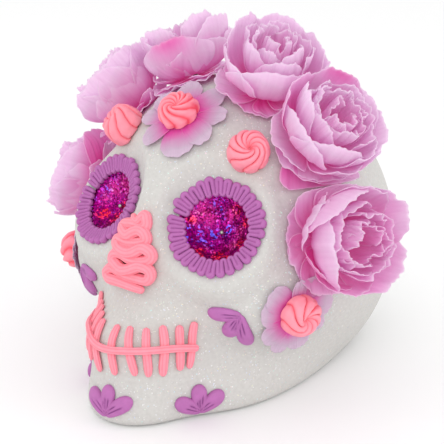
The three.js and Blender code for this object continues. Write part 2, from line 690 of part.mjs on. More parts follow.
// thin lobed bowl of petals turned about the flower axis, with a hole for the stem
function petalBowl(frame, rowShares, { height, radius: reach, lobe, wave }) {
  const rows = rowShares.map(([h, r]) => [height * h, STEM_HOLE_RADIUS + (reach - STEM_HOLE_RADIUS) * r]);
  const n = PEONY_LOBES * PEONY_SAMPLES;
  const ring = ([h, r], lift) => circle(n, (t) => {
    const share = r / reach;
    const swing = Math.cos(PEONY_LOBES * t);
    const radius = r + lobe * swing * share ** 2;
    return place(frame, radius * Math.cos(t), radius * Math.sin(t), h + lift + wave * swing * share ** 4);
  });
  const slope = rows.map((_, i) => {
    const [h0, r0] = rows[Math.max(i - 1, 0)];
    const [h1, r1] = rows[Math.min(i + 1, rows.length - 1)];
    const run = Math.hypot(h1 - h0, r1 - r0);
    return [(h1 - h0) / run, (r1 - r0) / run];
  });
  const inside = rows.map(([h, r], i) => (i === 0
    ? [h + PETAL_THICKNESS, r]
    : [h + PETAL_THICKNESS * slope[i][1], r - PETAL_THICKNESS * slope[i][0]]));
  const outside = rows.map((row) => ring(row, 0));
  return loft([...outside, ...[...inside].reverse().map((row) => ring(row, 0))], { around: true });
}

function peonyHeart(frame) {
  const n = PEONY_LOBES * 3;
  const rows = HEART_ROW_SHARES.map(([h, r]) => [HEART_HEIGHT * h, HEART_RADIUS * r]);
  const rings = rows.map(([h, r]) => circle(n, (t) => {
    const radius = r + HEART_LOBE * Math.cos(PEONY_LOBES * t) * (r / HEART_RADIUS);
    return place(frame, radius * Math.cos(t), radius * Math.sin(t), h);
  }));
  return loft(rings, {
    first: place(frame, 0, 0, rows[0][0]),
    last: place(frame, 0, 0, rows[rows.length - 1][0]),
  });
}

function peonyStem(frame) {
  return turned(frame, [
    [-STEM_DEPTH, 0], [-STEM_DEPTH + STEM_RADIUS, STEM_RADIUS], [CALYX_LOW, STEM_RADIUS],
    [CALYX_LOW, CALYX_RADIUS], [CALYX_HIGH, CALYX_RADIUS], [CALYX_HIGH, STEM_RADIUS],
    [STEM_TOP, STEM_RADIUS], [STEM_TOP, 0],
  ], STEM_COLUMNS);
}

// keeps a flower on its own side of the half-way plane to each neighbour
function keepApart(body, frame) {
  let kept = body;
  for (const other of Object.values(PEONY_FRAMES)) {
    if (other === frame) continue;
    const way = unit(sub(frame.middle, other.middle));
    const half = dot(mix(frame.middle, other.middle, 0.5), way);
    kept = kept.trimByPlane(way, half + NEIGHBOUR_HALF_GAP);
  }
  return largest(kept);
}

// group of named meshes

const PAINTS = {
  foam: { color: 0xd9d9d4, roughness: 0.75, metalness: 0 },
  cloth_foil: { color: 0xa01080, roughness: 0.35, metalness: 0.6 },
  pin_metal: { color: 0xc8c8c4, roughness: 0.25, metalness: 1 },
  lilac_icing: { color: 0xb56cb8, roughness: 0.6, metalness: 0 },
  pink_icing: { color: 0xff9fa8, roughness: 0.55, metalness: 0 },
  blossom_cloth: { color: 0xd8b8d8, roughness: 0.8, metalness: 0 },
  peony_silk: { color: 0xe0a8dc, roughness: 0.8, metalness: 0 },
  stem_plastic: { color: 0x5e8a4a, roughness: 0.6, metalness: 0 },
};

const group = new THREE.Group();
group.name = 'sugar_skull';

function addPiece(name, body, paint) {
  const { vertProperties, triVerts } = body.getMesh();
  const raw = new THREE.BufferGeometry();
  raw.setAttribute('position', new THREE.Float32BufferAttribute(vertProperties, 3));
  raw.setIndex(new THREE.Uint32BufferAttribute(triVerts, 1));
  const geometry = mergeVertices(raw, Number.EPSILON);
  geometry.computeVertexNormals();
  const mesh = new THREE.Mesh(geometry, new THREE.MeshStandardMaterial(PAINTS[paint]));
  mesh.name = name;
  mesh.material.name = paint;
  group.add(mesh);
}

addPiece('skull_body', skullBody(), 'foam');
for (const [side, eye] of Object.entries(EYES)) {
  addPiece(`eye_foil_${side}`, eyeFoil(eye), 'cloth_foil');
  addPiece(`eye_pin_${side}`, eyePin(eye), 'pin_metal');
  addPiece(`eye_rim_${side}`, eyeRim(eye), 'lilac_icing');
}
addPiece('nose_piping', nosePiping(), 'pink_icing');
addPiece('mouth_bar', mouthBar(0), 'pink_icing');
TOOTH_LINE_SHARES.forEach((line, i) => {
  addPiece(`tooth_${String(i + 1).padStart(2, '0')}`, tooth(line), 'pink_icing');
});
const ON_FOAM = SEAT_GAP + CURVE_GAP;
const ON_CLOTH = BLOSSOM_OFFSET + BLOSSOM_THICKNESS + GAP + CURVE_GAP;
addPiece('rosette_forehead', rosette(ROSETTE_SPOT_SHARES.forehead, ON_CLOTH), 'pink_icing');
addPiece('rosette_temple_left', rosette(ROSETTE_SPOT_SHARES.temple, ON_FOAM), 'pink_icing');
addPiece('rosette_temple_right', rosette(mirror(ROSETTE_SPOT_SHARES.temple), ON_FOAM), 'pink_icing');
addPiece('rosette_cheek_left', rosette(ROSETTE_SPOT_SHARES.cheek, ON_CLOTH), 'pink_icing');
addPiece('rosette_cheek_right', rosette(mirror(ROSETTE_SPOT_SHARES.cheek), ON_CLOTH), 'pink_icing');
addPiece('blossom_forehead', blossom(ROSETTE_SPOT_SHARES.forehead, 0), 'blossom_cloth');
addPiece('blossom_cheek_left', blossom(ROSETTE_SPOT_SHARES.cheek, 0), 'blossom_cloth');
addPiece('blossom_cheek_right', blossom(mirror(ROSETTE_SPOT_SHARES.cheek), 0), 'blossom_cloth');
const mirrorSprig = ({ root, tips }) => ({ root: mirror(root), tips: tips.map(mirror) });
addPiece('sprig_cheek_left', sprig(SPRIG_CHEEK_SHARES), 'lilac_icing');
addPiece('sprig_cheek_right', sprig(mirrorSprig(SPRIG_CHEEK_SHARES)), 'lilac_icing');
addPiece('sprig_chin', sprig(SPRIG_CHIN_SHARES), 'lilac_icing');
addPiece('sprig_jaw_left', sprig(SPRIG_JAW_SHARES), 'lilac_icing');
addPiece('sprig_jaw_right', sprig(mirrorSprig(SPRIG_JAW_SHARES)), 'lilac_icing');
const { forehead, cheek } = ROSETTE_SPOT_SHARES;
const clothClearance = [forehead, cheek, mirror(cheek)]
  .map((spot) => blossom(spot, CLOTH_CLEARANCE)).reduce((a, b) => a.add(b));
for (const [name, frame] of Object.entries(PEONY_FRAMES)) {
  const guard = petalBowl(frame, GUARD_ROW_SHARES, GUARD).subtract(seatCutter).subtract(clothClearance);
  addPiece(`peony_${name}_guard_petals`, keepApart(guard, frame), 'peony_silk');
  const cup = petalBowl(frame, CUP_ROW_SHARES, CUP);
  addPiece(`peony_${name}_cup_petals`, keepApart(cup, frame), 'peony_silk');
  addPiece(`peony_${name}_heart_petals`, keepApart(peonyHeart(frame), frame), 'peony_silk');
  addPiece(`peony_${name}_stem`, peonyStem(frame), 'stem_plastic');
}

export default group;
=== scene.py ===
# A craft foam sugar skull, dressed with piped icing trims, sequin cloth in the eyes, cloth
# blossoms and an arch of silk peonies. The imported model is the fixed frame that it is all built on.
# Shapes are worked out in millimetres and brought to metres when a mesh is made.
import bpy
import numpy as np
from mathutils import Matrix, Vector


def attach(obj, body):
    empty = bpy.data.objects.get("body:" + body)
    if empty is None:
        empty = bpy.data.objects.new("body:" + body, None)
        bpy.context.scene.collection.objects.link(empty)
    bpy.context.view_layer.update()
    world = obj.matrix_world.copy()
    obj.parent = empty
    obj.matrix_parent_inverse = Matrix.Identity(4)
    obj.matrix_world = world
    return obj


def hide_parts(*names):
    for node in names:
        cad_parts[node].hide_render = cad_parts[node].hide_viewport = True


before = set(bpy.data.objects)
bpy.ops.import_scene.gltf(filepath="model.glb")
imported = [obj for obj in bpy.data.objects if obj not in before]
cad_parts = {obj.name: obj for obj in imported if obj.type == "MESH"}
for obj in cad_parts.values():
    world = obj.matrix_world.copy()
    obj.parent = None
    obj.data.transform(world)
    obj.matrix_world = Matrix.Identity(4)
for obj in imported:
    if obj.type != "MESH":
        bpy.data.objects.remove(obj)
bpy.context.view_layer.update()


# The skull is a craft foam form with a flat base, brushed all over with glue and fine clear
# glitter. It is one smooth blend of rounded masses, with a dish pressed in for each eye.
# Places and half sizes are shares of the skull's height, tilts are degrees about X.
HEIGHT = 186.0
MASSES = {
    # name: (middle, half sizes, tilt, how softly it blends with the ones before it)
    "cranium": ((0, 0.2333, 0.4108), (0.4984, 0.528, 0.5973), 43.2, 0),
    "face": ((0, -0.1323, 0.4194), (0.2812, 0.2382, 0.3226), 0, 16),
    "cheeks": ((0.2634, -0.093, 0.3763), (0.179, 0.1828, 0.172), 0, 16),
    "muzzle": ((0, -0.2473, 0.1935), (0.2086, 0.2581, 0.1828), 0, 14),
    "jaw": ((0, -0.2452, 0.0323), (0.2075, 0.2946, 0.1505), 0, 16),
    "jaw_sides": ((0.1726, -0.0032, 0.043), (0.1866, 0.3, 0.1586), 0, 23.5),
}
SKULL_HEART = (0, 0.0806, 0.3656)
EYE_SPOT = (0.2124, -0.2366, 0.6075)
EYE_TURN, EYE_RISE = 13, 36
ORBIT_RADIUS, ORBIT_HALF_HEIGHT, ORBIT_DEPTH, ORBIT_BLEND = 35, 16, 15, 12
SOCKET_RADIUS, SOCKET_LIFT, SOCKET_LIP = 24, 13, 1.5
SEAT_RADIUS, SEAT_DEPTH, SIDE_FADE, BROW_FADE = 28.5, 30, 9.0, 15.0
SEAT_BOWL, SEAT_NASAL, SEAT_BROW, DEEP_FADE = 5.0, 2.5, 2.0, 12
BASE_BLEND = 6
SKULL_ROUND, SKULL_RISE = 380, 240


def sized(shares):
    """Shares of the skull's height, in millimetres."""
    return np.array(shares) * HEIGHT


def unit(a):
    """Each vector over its own length."""
    return a / np.maximum(np.linalg.norm(a, axis=-1, keepdims=True), 1e-12)


def frame_of(origin, across, up, out):
    """A local frame: where it stands and its three directions."""
    return {"origin": np.asarray(origin, float), "across": np.asarray(across, float),
            "up": np.asarray(up, float), "out": np.asarray(out, float)}


def mirrored(p):
    """The points brought over to the skull's left."""
    return np.concatenate([np.abs(p[..., :1]), p[..., 1:]], -1)


def spot(local, a, b, c):
    """The points a across, b up and c out in a local frame."""
    a, b, c = (np.asarray(x, float)[..., None] for x in (a, b, c))
    return local["origin"] + local["across"] * a + local["up"] * b + local["out"] * c


def all_round(number):
    """A row of evenly spaced angles, once round."""
    return np.linspace(0, 2 * np.pi, number, endpoint=False)[None, :]


def about(local, r, turn, h):
    """The points r out at an angle and h along a local frame's axis."""
    return spot(local, r * np.cos(turn), r * np.sin(turn), h)


def swung(r, side, degrees):
    """Places r out along a direction and side across it, as across and up in the frame."""
    a = np.radians(degrees)
    return r * np.cos(a) - side * np.sin(a), r * np.sin(a) + side * np.cos(a)


def clamped(t):
    """The values kept from 0 to 1."""
    return np.clip(t, 0, 1)


def eye_frame(side):
    """The plane of one eye: side is 1 on the skull's left and -1 on its right."""
    turn, rise = np.radians(EYE_TURN) * side, np.radians(EYE_RISE)
    s, c, sr, cr = np.sin(turn), np.cos(turn), np.sin(rise), np.cos(rise)
    return frame_of(sized((EYE_SPOT[0] * side, *EYE_SPOT[1:])),
                    (c, s, 0), (-s * sr, c * sr, cr), (s * cr, -c * cr, sr))


EYES = {"left": eye_frame(1), "right": eye_frame(-1)}


def mass_distance(p, middle, half, tilt):
    """Distance estimate to an ellipsoid: with q the point in its frame, near = |q / half| and
    far = |q / half squared|, it is near * (near - 1) / far. Off-centre masses are mirrored."""
    middle, half = sized(middle), sized(half)
    x, y, z = np.moveaxis((mirrored(p) if middle[0] else p) - middle, -1, 0)
    c, s = np.cos(np.radians(tilt)), np.sin(np.radians(tilt))
    q = np.stack([x, y * c + z * s, z * c - y * s], -1)
    near, far = np.linalg.norm(q / half, axis=-1), np.linalg.norm(q / half**2, axis=-1)
    return near * (near - 1) / np.maximum(far, 1e-9)


def blended(a, b, length):
    """The smaller of two distances, rounded where they are within a length of each other."""
    h = clamped((length + b - a) / (2 * length))
    return b * (1 - h) + a * h - length * h * (1 - h)


def orbit_distance(p):
    """Distance estimate, as for a mass, to the flattened pad that each eye rim is piped on."""
    eye = EYES["left"]
    q = mirrored(p) - (eye["origin"] - eye["out"] * ORBIT_DEPTH)
    h = q @ eye["out"]
    r = np.sqrt(np.maximum((q * q).sum(-1) - h * h, 0))
    near = np.hypot(r / ORBIT_RADIUS, h / ORBIT_HALF_HEIGHT)
    far = np.hypot(r / ORBIT_RADIUS**2, h / ORBIT_HALF_HEIGHT**2)
    return near * (near - 1) / np.maximum(far, 1e-9)


def eased(t):
    """0 to 1 as t goes from 0 to 1, level at both ends."""
    t = clamped(t)
    return t * t * (3 - 2 * t)


def seat_level(p):
    """The seat pressed round each eye. With a towards the nose, b up and r from the eye's middle,
    its level is a shallow bowl that tilts up at the nose and the brow. Gives the height over that
    level, and a share that is 1 on the seat and eases to 0 beyond it and deep in the skull."""
    eye = EYES["left"]
    q = mirrored(p) - eye["origin"]
    a, b, h = -q @ eye["across"], q @ eye["up"], q @ eye["out"]
    r = np.hypot(a, b)
    near = np.minimum(1, SEAT_RADIUS / np.maximum(r, 1e-6)) / SEAT_RADIUS
    level = SEAT_BOWL * ((r * near) ** 2 - 0.5) + SEAT_NASAL * a * near + SEAT_BROW * b * near
    fade = SIDE_FADE + (BROW_FADE - SIDE_FADE) * (b / np.maximum(r, 1e-6)) ** 2
    share = (1 - eased((r - SEAT_RADIUS) / fade)) * eased((h + SEAT_DEPTH) / DEEP_FADE)
    return h - level, share


def foam_distance(p, sockets=False):
    """Signed distance estimate to the skull: the blend of its masses over a flat base with the
    eye seats pressed in, less the ball-shaped eye dishes where sockets is true."""
    d = None
    for middle, half, tilt, soft in MASSES.values():
        mass = mass_distance(p, middle, half, tilt)
        d = mass if d is None else blended(d, mass, soft)
    d = blended(d, orbit_distance(p), ORBIT_BLEND)
    over, share = seat_level(p)
    d = d + (over - d) * share
    if sockets:
        for eye in EYES.values():
            ball = np.linalg.norm(p - spot(eye, 0, 0, SOCKET_LIFT), axis=-1) - SOCKET_RADIUS
            d = -blended(-d, ball, SOCKET_LIP)
    return -blended(-d, p[..., 2], BASE_BLEND)


def foam_normal(p):
    """Direction in which the distance grows fastest, from differences half a millimetre apart."""
    steps = np.eye(3) * 0.5
    return unit(np.stack([foam_distance(p + s) - foam_distance(p - s) for s in steps], -1))


def leaving(start, way, sockets=False):
    """Where rays that start inside the skull leave it, by halving the reach 26 times."""
    way = unit(np.asarray(way, float))
    start = np.broadcast_to(start, way.shape)
    low, high = np.zeros(way.shape[:-1]), np.full(way.shape[:-1], HEIGHT * 1.02)
    for _ in range(26):
        middle = (low + high) / 2
        inside = foam_distance(start + way * middle[..., None], sockets) < 0
        low, high = np.where(inside, middle, low), np.where(inside, high, middle)
    return start + way * low[..., None]


def seated(p):
    """The nearest skull point to spots given near the surface, in ten steps along the normal."""
    p = np.array(p, float)
    for _ in range(10):
        p = p - foam_normal(p) * foam_distance(p)[..., None]
    return p


def shell(name, grids, wrap=False, caps=0, closed=False, marks=None):
    """Joins grids of points (rows, columns, xyz, in millimetres) into one smooth mesh in metres.
    wrap joins the last column to the first. caps closes the first row on its middle point (1), or
    both end rows (2). closed turns a grid whose faces look inwards, which is so where the sum of
    its faces' products a . (b x c) is below zero. marks holds values for each grid's points."""
    points, faces, start, keys = [], [], 0, list(marks or {})
    for g, grid in enumerate(grids):
        rows, cols = grid.shape[:2]
        i, j = (x.ravel() for x in np.indices((rows - 1, cols if wrap else cols - 1)))
        k = (j + 1) % cols
        low, high = i * cols, (i + 1) * cols
        made, ends = np.stack([low + j, low + k, high + k, high + j], 1), np.zeros((0, 3), int)
        shades = [np.broadcast_to(marks[key][g], (rows, cols))[..., None] for key in keys]
        flat = np.concatenate([grid, *shades], -1).reshape(rows * cols, -1)
        if caps:
            n = np.arange(cols)
            m, top = (n + 1) % cols, (rows - 1) * cols
            fans = (m, n), (top + n, top + m)
            ends = np.concatenate([np.stack([*fan, np.full(cols, rows * cols + end)], 1)
                                   for end, fan in enumerate(fans[:caps])])
            flat = np.concatenate([flat, [flat[:cols].mean(0), flat[-cols:].mean(0)][:caps]])
        if closed:
            a, b, c, d = (flat[made[:, x], :3] for x in range(4))
            volume = (a * np.cross(b, c)).sum() + (a * np.cross(c, d)).sum()
            a, b, c = (flat[ends[:, x], :3] for x in range(3))
            if volume + (a * np.cross(b, c)).sum() < 0:
                made, ends = made[:, ::-1], ends[:, ::-1]
        faces += (made + start).tolist() + (ends + start).tolist()
        points.append(flat)
        start += len(flat)
    points = np.concatenate(points)
    mesh = bpy.data.meshes.new(name)
    mesh.from_pydata((points[:, :3] * 0.001).tolist(), [], faces)
    for key, column in zip(keys, points.T[3:]):
        held = mesh.attributes.new(key, "FLOAT", "POINT").data
        held.foreach_set("value", column.astype(np.float32))
    mesh.shade_smooth()
    piece = bpy.data.objects.new(name, mesh)
    bpy.context.scene.collection.objects.link(piece)
    return piece


def fixed(piece, paint, slot, *nodes):
    """Gives a piece its finish, fixes it to the root body, and hides the imported nodes that it stands in for.
    """
    piece.data.materials.append(paint)
    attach(piece, "root")
    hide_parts(*nodes)
    return piece


def new_paint(name, **values):
    """A material with one Principled shader whose sockets are set from values, and its nodes."""
    paint = bpy.data.materials.new(name)
    paint.use_nodes = True
    shader = paint.node_tree.nodes["Principled BSDF"]
    for key, value in values.items():
        shader.inputs[key.replace("_", " ")].default_value = value
    return paint, paint.node_tree, shader


def feed(tree, shader, **sockets):
    """Links sockets to the shader's inputs of those names."""
    for key, socket in sockets.items():
        tree.links.new(socket, shader.inputs[key.replace("_", " ")])


def node(tree, kind, inputs=None, **settings):
    """Adds a shader node; an input is a number or colour, or a socket that is linked to it."""
    made = tree.nodes.new("ShaderNode" + kind)
    for key, value in settings.items():
        setattr(made, key, value)
    for key, value in (inputs or {}).items():
        if isinstance(value, bpy.types.NodeSocket):
            tree.links.new(value, made.inputs[key])
        else:
            made.inputs[key].default_value = value
    return made


def ramp(tree, fac, *stops):
    """A colour ramp with stops of (place, colour)."""
    made = node(tree, "ValToRGB", {"Fac": fac})
    line = made.color_ramp.elements
    while len(line) < len(stops):
        line.new(0.5)
    for stop, (place, colour) in zip(line, stops):
        stop.position, stop.color = place, (*colour, 1)
    return made.outputs["Color"]


def mixed(tree, fac, a, b, kind="MIX"):
    """Two colours mixed by a factor."""
    a, b = (x if isinstance(x, bpy.types.NodeSocket) else (*x, 1) for x in (a, b))
    return node(tree, "Mix", {0: fac, 6: a, 7: b}, data_type="RGBA", blend_type=kind).outputs[2]


def count(tree, how, *values):
    """One sum of numbers."""
    return node(tree, "Math", dict(enumerate(values)), operation=how).outputs[0]


def noise(tree, scale, detail):
    """Cloudy values from 0 to 1 over the piece, with so many clouds to a metre."""
    place = node(tree, "TexCoord").outputs["Object"]
    return node(tree, "TexNoise", {"Vector": place, "Scale": scale, "Detail": detail}).outputs["Fac"]


def bumped(tree, height, strength, deep):
    """The normals of a relief that is so deep, in metres."""
    return node(tree, "Bump", {"Strength": strength, "Distance": deep, "Height": height}).outputs["Normal"]


def glitter_group():
    """Loose flakes: each cell of a fine Voronoi pattern is one flake. Its random colour picks the few flakes
    that are painted as lying in the light (Sparkling flake), gives a number for picking the tint of that
    painted sparkle (Pick), and the way it faces (Facing), tipped from the surface by Tip."""
    tree = bpy.data.node_groups.new("glitter_flakes", "ShaderNodeTree")
    face = tree.interface
    for name, default in (("Flakes per metre", 1500.0), ("Share", 0.1), ("Tip", 0.5)):
        face.new_socket(name, in_out="INPUT", socket_type="NodeSocketFloat").default_value = default
    for name, kind in (("Sparkling flake", "Float"), ("Pick", "Float"), ("Facing", "Vector")):
        face.new_socket(name, in_out="OUTPUT", socket_type="NodeSocket" + kind)
    given, shown = tree.nodes.new("NodeGroupInput"), tree.nodes.new("NodeGroupOutput")
    place = node(tree, "TexCoord").outputs["Object"]
    cell = node(tree, "TexVoronoi", {"Vector": place, "Scale": given.outputs[0]}).outputs["Color"]
    parts = node(tree, "SeparateColor", {"Color": cell})
    flake = count(tree, "LESS_THAN", parts.outputs[0], given.outputs[1])
    tip = count(tree, "MULTIPLY", flake, given.outputs[2])
    tipped = node(tree, "VectorMath", {0: cell, 1: (0.5, 0.5, 0.5)}, operation="SUBTRACT").outputs[0]
    tipped = node(tree, "VectorMath", {0: tipped, "Scale": tip}, operation="SCALE").outputs[0]
    level = node(tree, "NewGeometry").outputs["Normal"]
    facing = node(tree, "VectorMath", {0: level, 1: tipped}, operation="ADD").outputs[0]
    facing = node(tree, "VectorMath", {0: facing}, operation="NORMALIZE").outputs[0]
    for name, socket in (("Sparkling flake", flake), ("Pick", parts.outputs[1]), ("Facing", facing)):
        tree.links.new(socket, shown.inputs[name])
    return tree


GLITTER = glitter_group()
FOAM_GREY, FOAM_WHITE, FOAM_ROUGH = (0.54, 0.527, 0.505), (0.6, 0.588, 0.565), 0.62
FLAKE_TINTS = (
    # pink, cream, mint, light blue and white, the tints of the painted sparkle, each from its place on
    (0.0, (1.0, 0.68, 0.82)), (0.15, (1.0, 0.93, 0.7)), (0.3, (0.62, 1.0, 0.9)), (0.45, (0.7, 0.76, 1.0)),
    (0.6, (0.95, 0.95, 0.95)),
)


def flakes(tree, per_metre, share, tip):
    """The flake group, with how fine the flakes are, the share painted as lying in the light and how far they
    tip.
    """
    return node(tree, "Group", {0: per_metre, 1: share, 2: tip}, node_tree=GLITTER).outputs


def glitter_foam():
    """White foam under glue and clear glitter: a soft grey white with faint mottling, in which a few flakes are
    painted bright in one of the flakes' tints, as painted sparkle where they would catch the light."""
    paint, tree, shader = new_paint("glitter_foam", Roughness=FOAM_ROUGH, Specular_IOR_Level=0.3)
    glitter = flakes(tree, 1500.0, 0.04, 0.8)
    ground = ramp(tree, noise(tree, 520.0, 4.0), (0.3, FOAM_GREY), (0.7, FOAM_WHITE))
    tint = ramp(tree, glitter["Pick"], *FLAKE_TINTS)
    # painted sparkle: the flakes picked as in the light take their bright tint
    colour = mixed(tree, count(tree, "MULTIPLY", glitter["Sparkling flake"], 0.6), ground, tint)
    dull = count(tree, "MULTIPLY_ADD", glitter["Sparkling flake"], -0.35, FOAM_ROUGH)
    grain = bumped(tree, noise(tree, 420.0, 5.0), 0.16, 0.0006)
    facing = node(tree, "Mix", {0: glitter["Sparkling flake"], 4: grain, 5: glitter["Facing"]}, data_type="VECTOR")
    feed(tree, shader, Base_Color=colour, Roughness=dull, Normal=facing.outputs[1])
    return paint


def skull_skin():
    """Rays from the skull's heart, evenly round Z and from pole to pole, each cut where it
    leaves the foam."""
    turn = all_round(SKULL_ROUND)
    polar = np.linspace(0, np.pi, SKULL_RISE + 2)[1:-1, None]
    way = np.stack([np.sin(polar) * np.cos(turn), np.sin(polar) * np.sin(turn),
                    np.cos(polar) + 0 * turn], -1)
    return leaving(sized(SKULL_HEART), way, sockets=True)


skull = shell("skull_foam", [skull_skin()], wrap=True, caps=2, closed=True)
fixed(skull, glitter_foam(), "foam", "skull_body")


# Each eye dish is lined with sequin cloth, pushed in so that it crinkles, and held by one
# bead-headed pin. The cloth is a disc whose edge is tucked under the icing; the pin is a steel
# shank with a round head.
FOIL_RADIUS, FOIL_TUCK, FOIL_LAP, FOIL_THICK = 23.2, 0.1, 3.0, 0.4
FOIL_CRINKLE, FOIL_FOLD = 0.55, 1.3
FOIL_CLEAR, FOIL_RISE, FOIL_ROUND, DISH_OPENING = 0.25, 60, 120, 18
FOIL_GLINTS = {
    # side: patches of painted light for each tint as (across, up, reach), in shares of the dish's opening
    # blue and red are painted reflections of the holographic sequins, and light is a painted highlight on the
    # lit side of the dish
    "left": {
        "blue": ((-0.95, -0.2, 0.34), (-0.45, -0.5, 0.26), (-0.25, 0.75, 0.18), (-0.3, -0.1, 0.18),
                 (0.15, 0.15, 0.16)),
        "red": ((-0.45, -0.85, 0.28), (0.25, -0.85, 0.34), (-0.98, 0.2, 0.16), (0.8, -0.3, 0.26),
                (0.78, 0.35, 0.2), (0.4, 0.72, 0.2)),
        "light": ((-0.62, 0.5, 0.34), (0.2, 0.6, 0.2), (0.6, 0.1, 0.18), (0.45, -0.4, 0.16)),
    },
    "right": {
        "blue": ((0.2, -0.1, 0.22), (0.55, 0.2, 0.2), (-0.7, 0.35, 0.14)),
        "red": ((0.1, -0.4, 0.3), (-0.5, -0.45, 0.26), (0.45, -0.2, 0.24), (0.1, 0.1, 0.2)),
        "light": ((-0.05, 0.75, 0.3), (-0.5, 0.45, 0.24), (-0.72, 0.05, 0.15)),
    },
}
BEAD_RADIUS, SHANK_RADIUS, SHANK_DEPTH, BEAD_LIFT, PIN_ROUND = 1.5, 0.5, 17, 1.7, 24


def on_rim(eye, r, turn, lift):
    """Points r out from the eye's axis at an angle, lifted off the whole skull along the axis. The
    skull's height there is found in eight steps along the axis."""
    p = about(eye, r, turn, 0 * r * turn)
    for _ in range(8):
        p = p - eye["out"] * foam_distance(p)[..., None]
    return about(eye, r, turn, (p - eye["origin"]) @ eye["out"] + lift)


def dished_cloth(eye, side):
    """A cap of the dish's ball as a polar grid. The angle from its lowest point grows with the
    row, and in each direction it ends just under the skull's skin, found by halving between 35 and
    88 degrees, and then laps on to the skin. Waves move it in and out, and a fold near its
    edge moves it in."""
    turn = all_round(FOIL_ROUND)
    low, high = np.full(turn.shape, np.radians(35)), np.full(turn.shape, np.radians(88))
    for _ in range(18):
        half = (low + high) / 2
        edge = about(eye, FOIL_RADIUS * np.sin(half), turn, SOCKET_LIFT - FOIL_RADIUS * np.cos(half))
        under = foam_distance(edge) < -FOIL_TUCK
        low, high = np.where(under, half, low), np.where(under, high, half)
    share = np.linspace(0.01, 1, FOIL_RISE)[:, None]
    polar = low * share
    crinkle = (np.sin(5 * turn + 7 * share + side) * np.sin(9 * share + 2 * side)
               + 0.7 * np.sin(11 * turn - 16 * share) * share + 0.4 * np.sin(23 * turn + 31 * share) * share)
    fold = np.exp(-((turn - 2.1) / 0.55) ** 2 - ((share - 0.7) / 0.18) ** 2)
    radius = FOIL_RADIUS - FOIL_CRINKLE * (0.5 + 0.4 * crinkle) * (1 - share**6) - FOIL_FOLD * fold
    r = radius * np.sin(polar)
    lap = r[-1:] + FOIL_LAP * np.linspace(0.3, 1, 4)[:, None]
    return np.concatenate([about(eye, r, turn, SOCKET_LIFT - radius * np.cos(polar)),
                           on_rim(eye, lap, turn, FOIL_CLEAR)])


def glints(eye, grid, patches):
    """How far each point lies in patches of one tint of painted light: the largest of exp(-(distance /
    reach)^2).
    """
    a, b = ((grid - eye["origin"]) @ eye[way] / DISH_OPENING for way in ("across", "up"))
    return np.max([np.exp(-((a - x) ** 2 + (b - y) ** 2) / reach**2) for x, y, reach in patches], axis=0)


def mark(tree, name):
    """A value that the mesh holds for each of its points."""
    return node(tree, "Attribute", attribute_name=name).outputs["Fac"]


def sequin_cloth():
    """Holographic sequin cloth: fine chips from dark plum to magenta, each with its own tilt, and larger flecks
    painted as flashes of light: violet, and blue, red or pale pink inside the patches of painted reflection and
    highlight. The red patches also paint the ground a redder reflection, and the light patches paint it a paler
    pink highlight."""
    paint, tree, shader = new_paint("sequin_cloth", Metallic=1.0, Roughness=0.3)
    blue, red, light = (mark(tree, name) for name in ("blue", "red", "light"))
    # how often a fleck is painted as a flash, more inside the painted patches
    often = count(tree, "MULTIPLY_ADD", blue, 0.3, 0.07)
    often = count(tree, "MULTIPLY_ADD", red, 0.42, often)
    often = count(tree, "MULTIPLY_ADD", light, 0.08, often)
    chips, flecks = flakes(tree, 1250.0, 2.0, 0.9), flakes(tree, 680.0, often, 0.9)
    ground = ramp(tree, chips["Pick"], (0.0, (0.09, 0.0, 0.08)), (0.3, (0.23, 0.0, 0.15)),
                  (0.6, (0.4, 0.004, 0.21)), (0.85, (0.52, 0.015, 0.29)), (0.97, (0.25, 0.05, 0.65)),
                  (1.0, (0.3, 0.1, 0.85)))
    # painted reflection (red) and painted highlight (light) laid over the ground
    ground = mixed(tree, count(tree, "MULTIPLY", red, 0.6), ground, (0.42, 0.0, 0.07))
    ground = mixed(tree, count(tree, "MULTIPLY", light, 0.68), ground, (0.72, 0.04, 0.3))
    flash = (0.55, 0.03, 0.5)
    for patch, tint in ((blue, (0.16, 0.12, 1.0)), (red, (1.0, 0.03, 0.09))):
        strong = count(tree, "MINIMUM", count(tree, "MULTIPLY", patch, 1.6), 1.0)
        flash = mixed(tree, strong, flash, tint)
    flash = mixed(tree, light, flash, (0.95, 0.2, 0.5))
    feed(tree, shader, Base_Color=mixed(tree, flecks["Sparkling flake"], ground, flash), Normal=chips["Facing"])
    return paint


def pin_steel():
    """Dull silver bead metal with faint handling marks."""
    paint, tree, shader = new_paint("bead_metal", Metallic=1.0)
    marks = noise(tree, 700.0, 4.0)
    feed(tree, shader, Base_Color=ramp(tree, marks, (0.35, (0.3, 0.31, 0.28)), (0.7, (0.5, 0.51, 0.46))),
         Roughness=count(tree, "MULTIPLY_ADD", marks, 0.25, 0.18))
    return paint


def thickened(piece, thick):
    """Gives a sheet its thickness, half on each side."""
    wall = piece.modifiers.new("thickness", "SOLIDIFY")
    wall.thickness, wall.offset = thick * 0.001, 0


def bead_pin(eye):
    """A profile turned about the eye's axis: a straight shank, then a round head."""
    angle = np.radians(np.linspace(-70, 89, 14))
    floor = BEAD_LIFT + BEAD_RADIUS
    height = np.concatenate([[-SHANK_DEPTH, -SHANK_DEPTH + 2], floor + BEAD_RADIUS * np.sin(angle)])
    radius = np.concatenate([[0.05, SHANK_RADIUS], BEAD_RADIUS * np.cos(angle)])
    turn, height = all_round(PIN_ROUND), height[:, None] + SOCKET_LIFT - SOCKET_RADIUS
    return about(eye, radius[:, None], turn, height + 0 * turn)


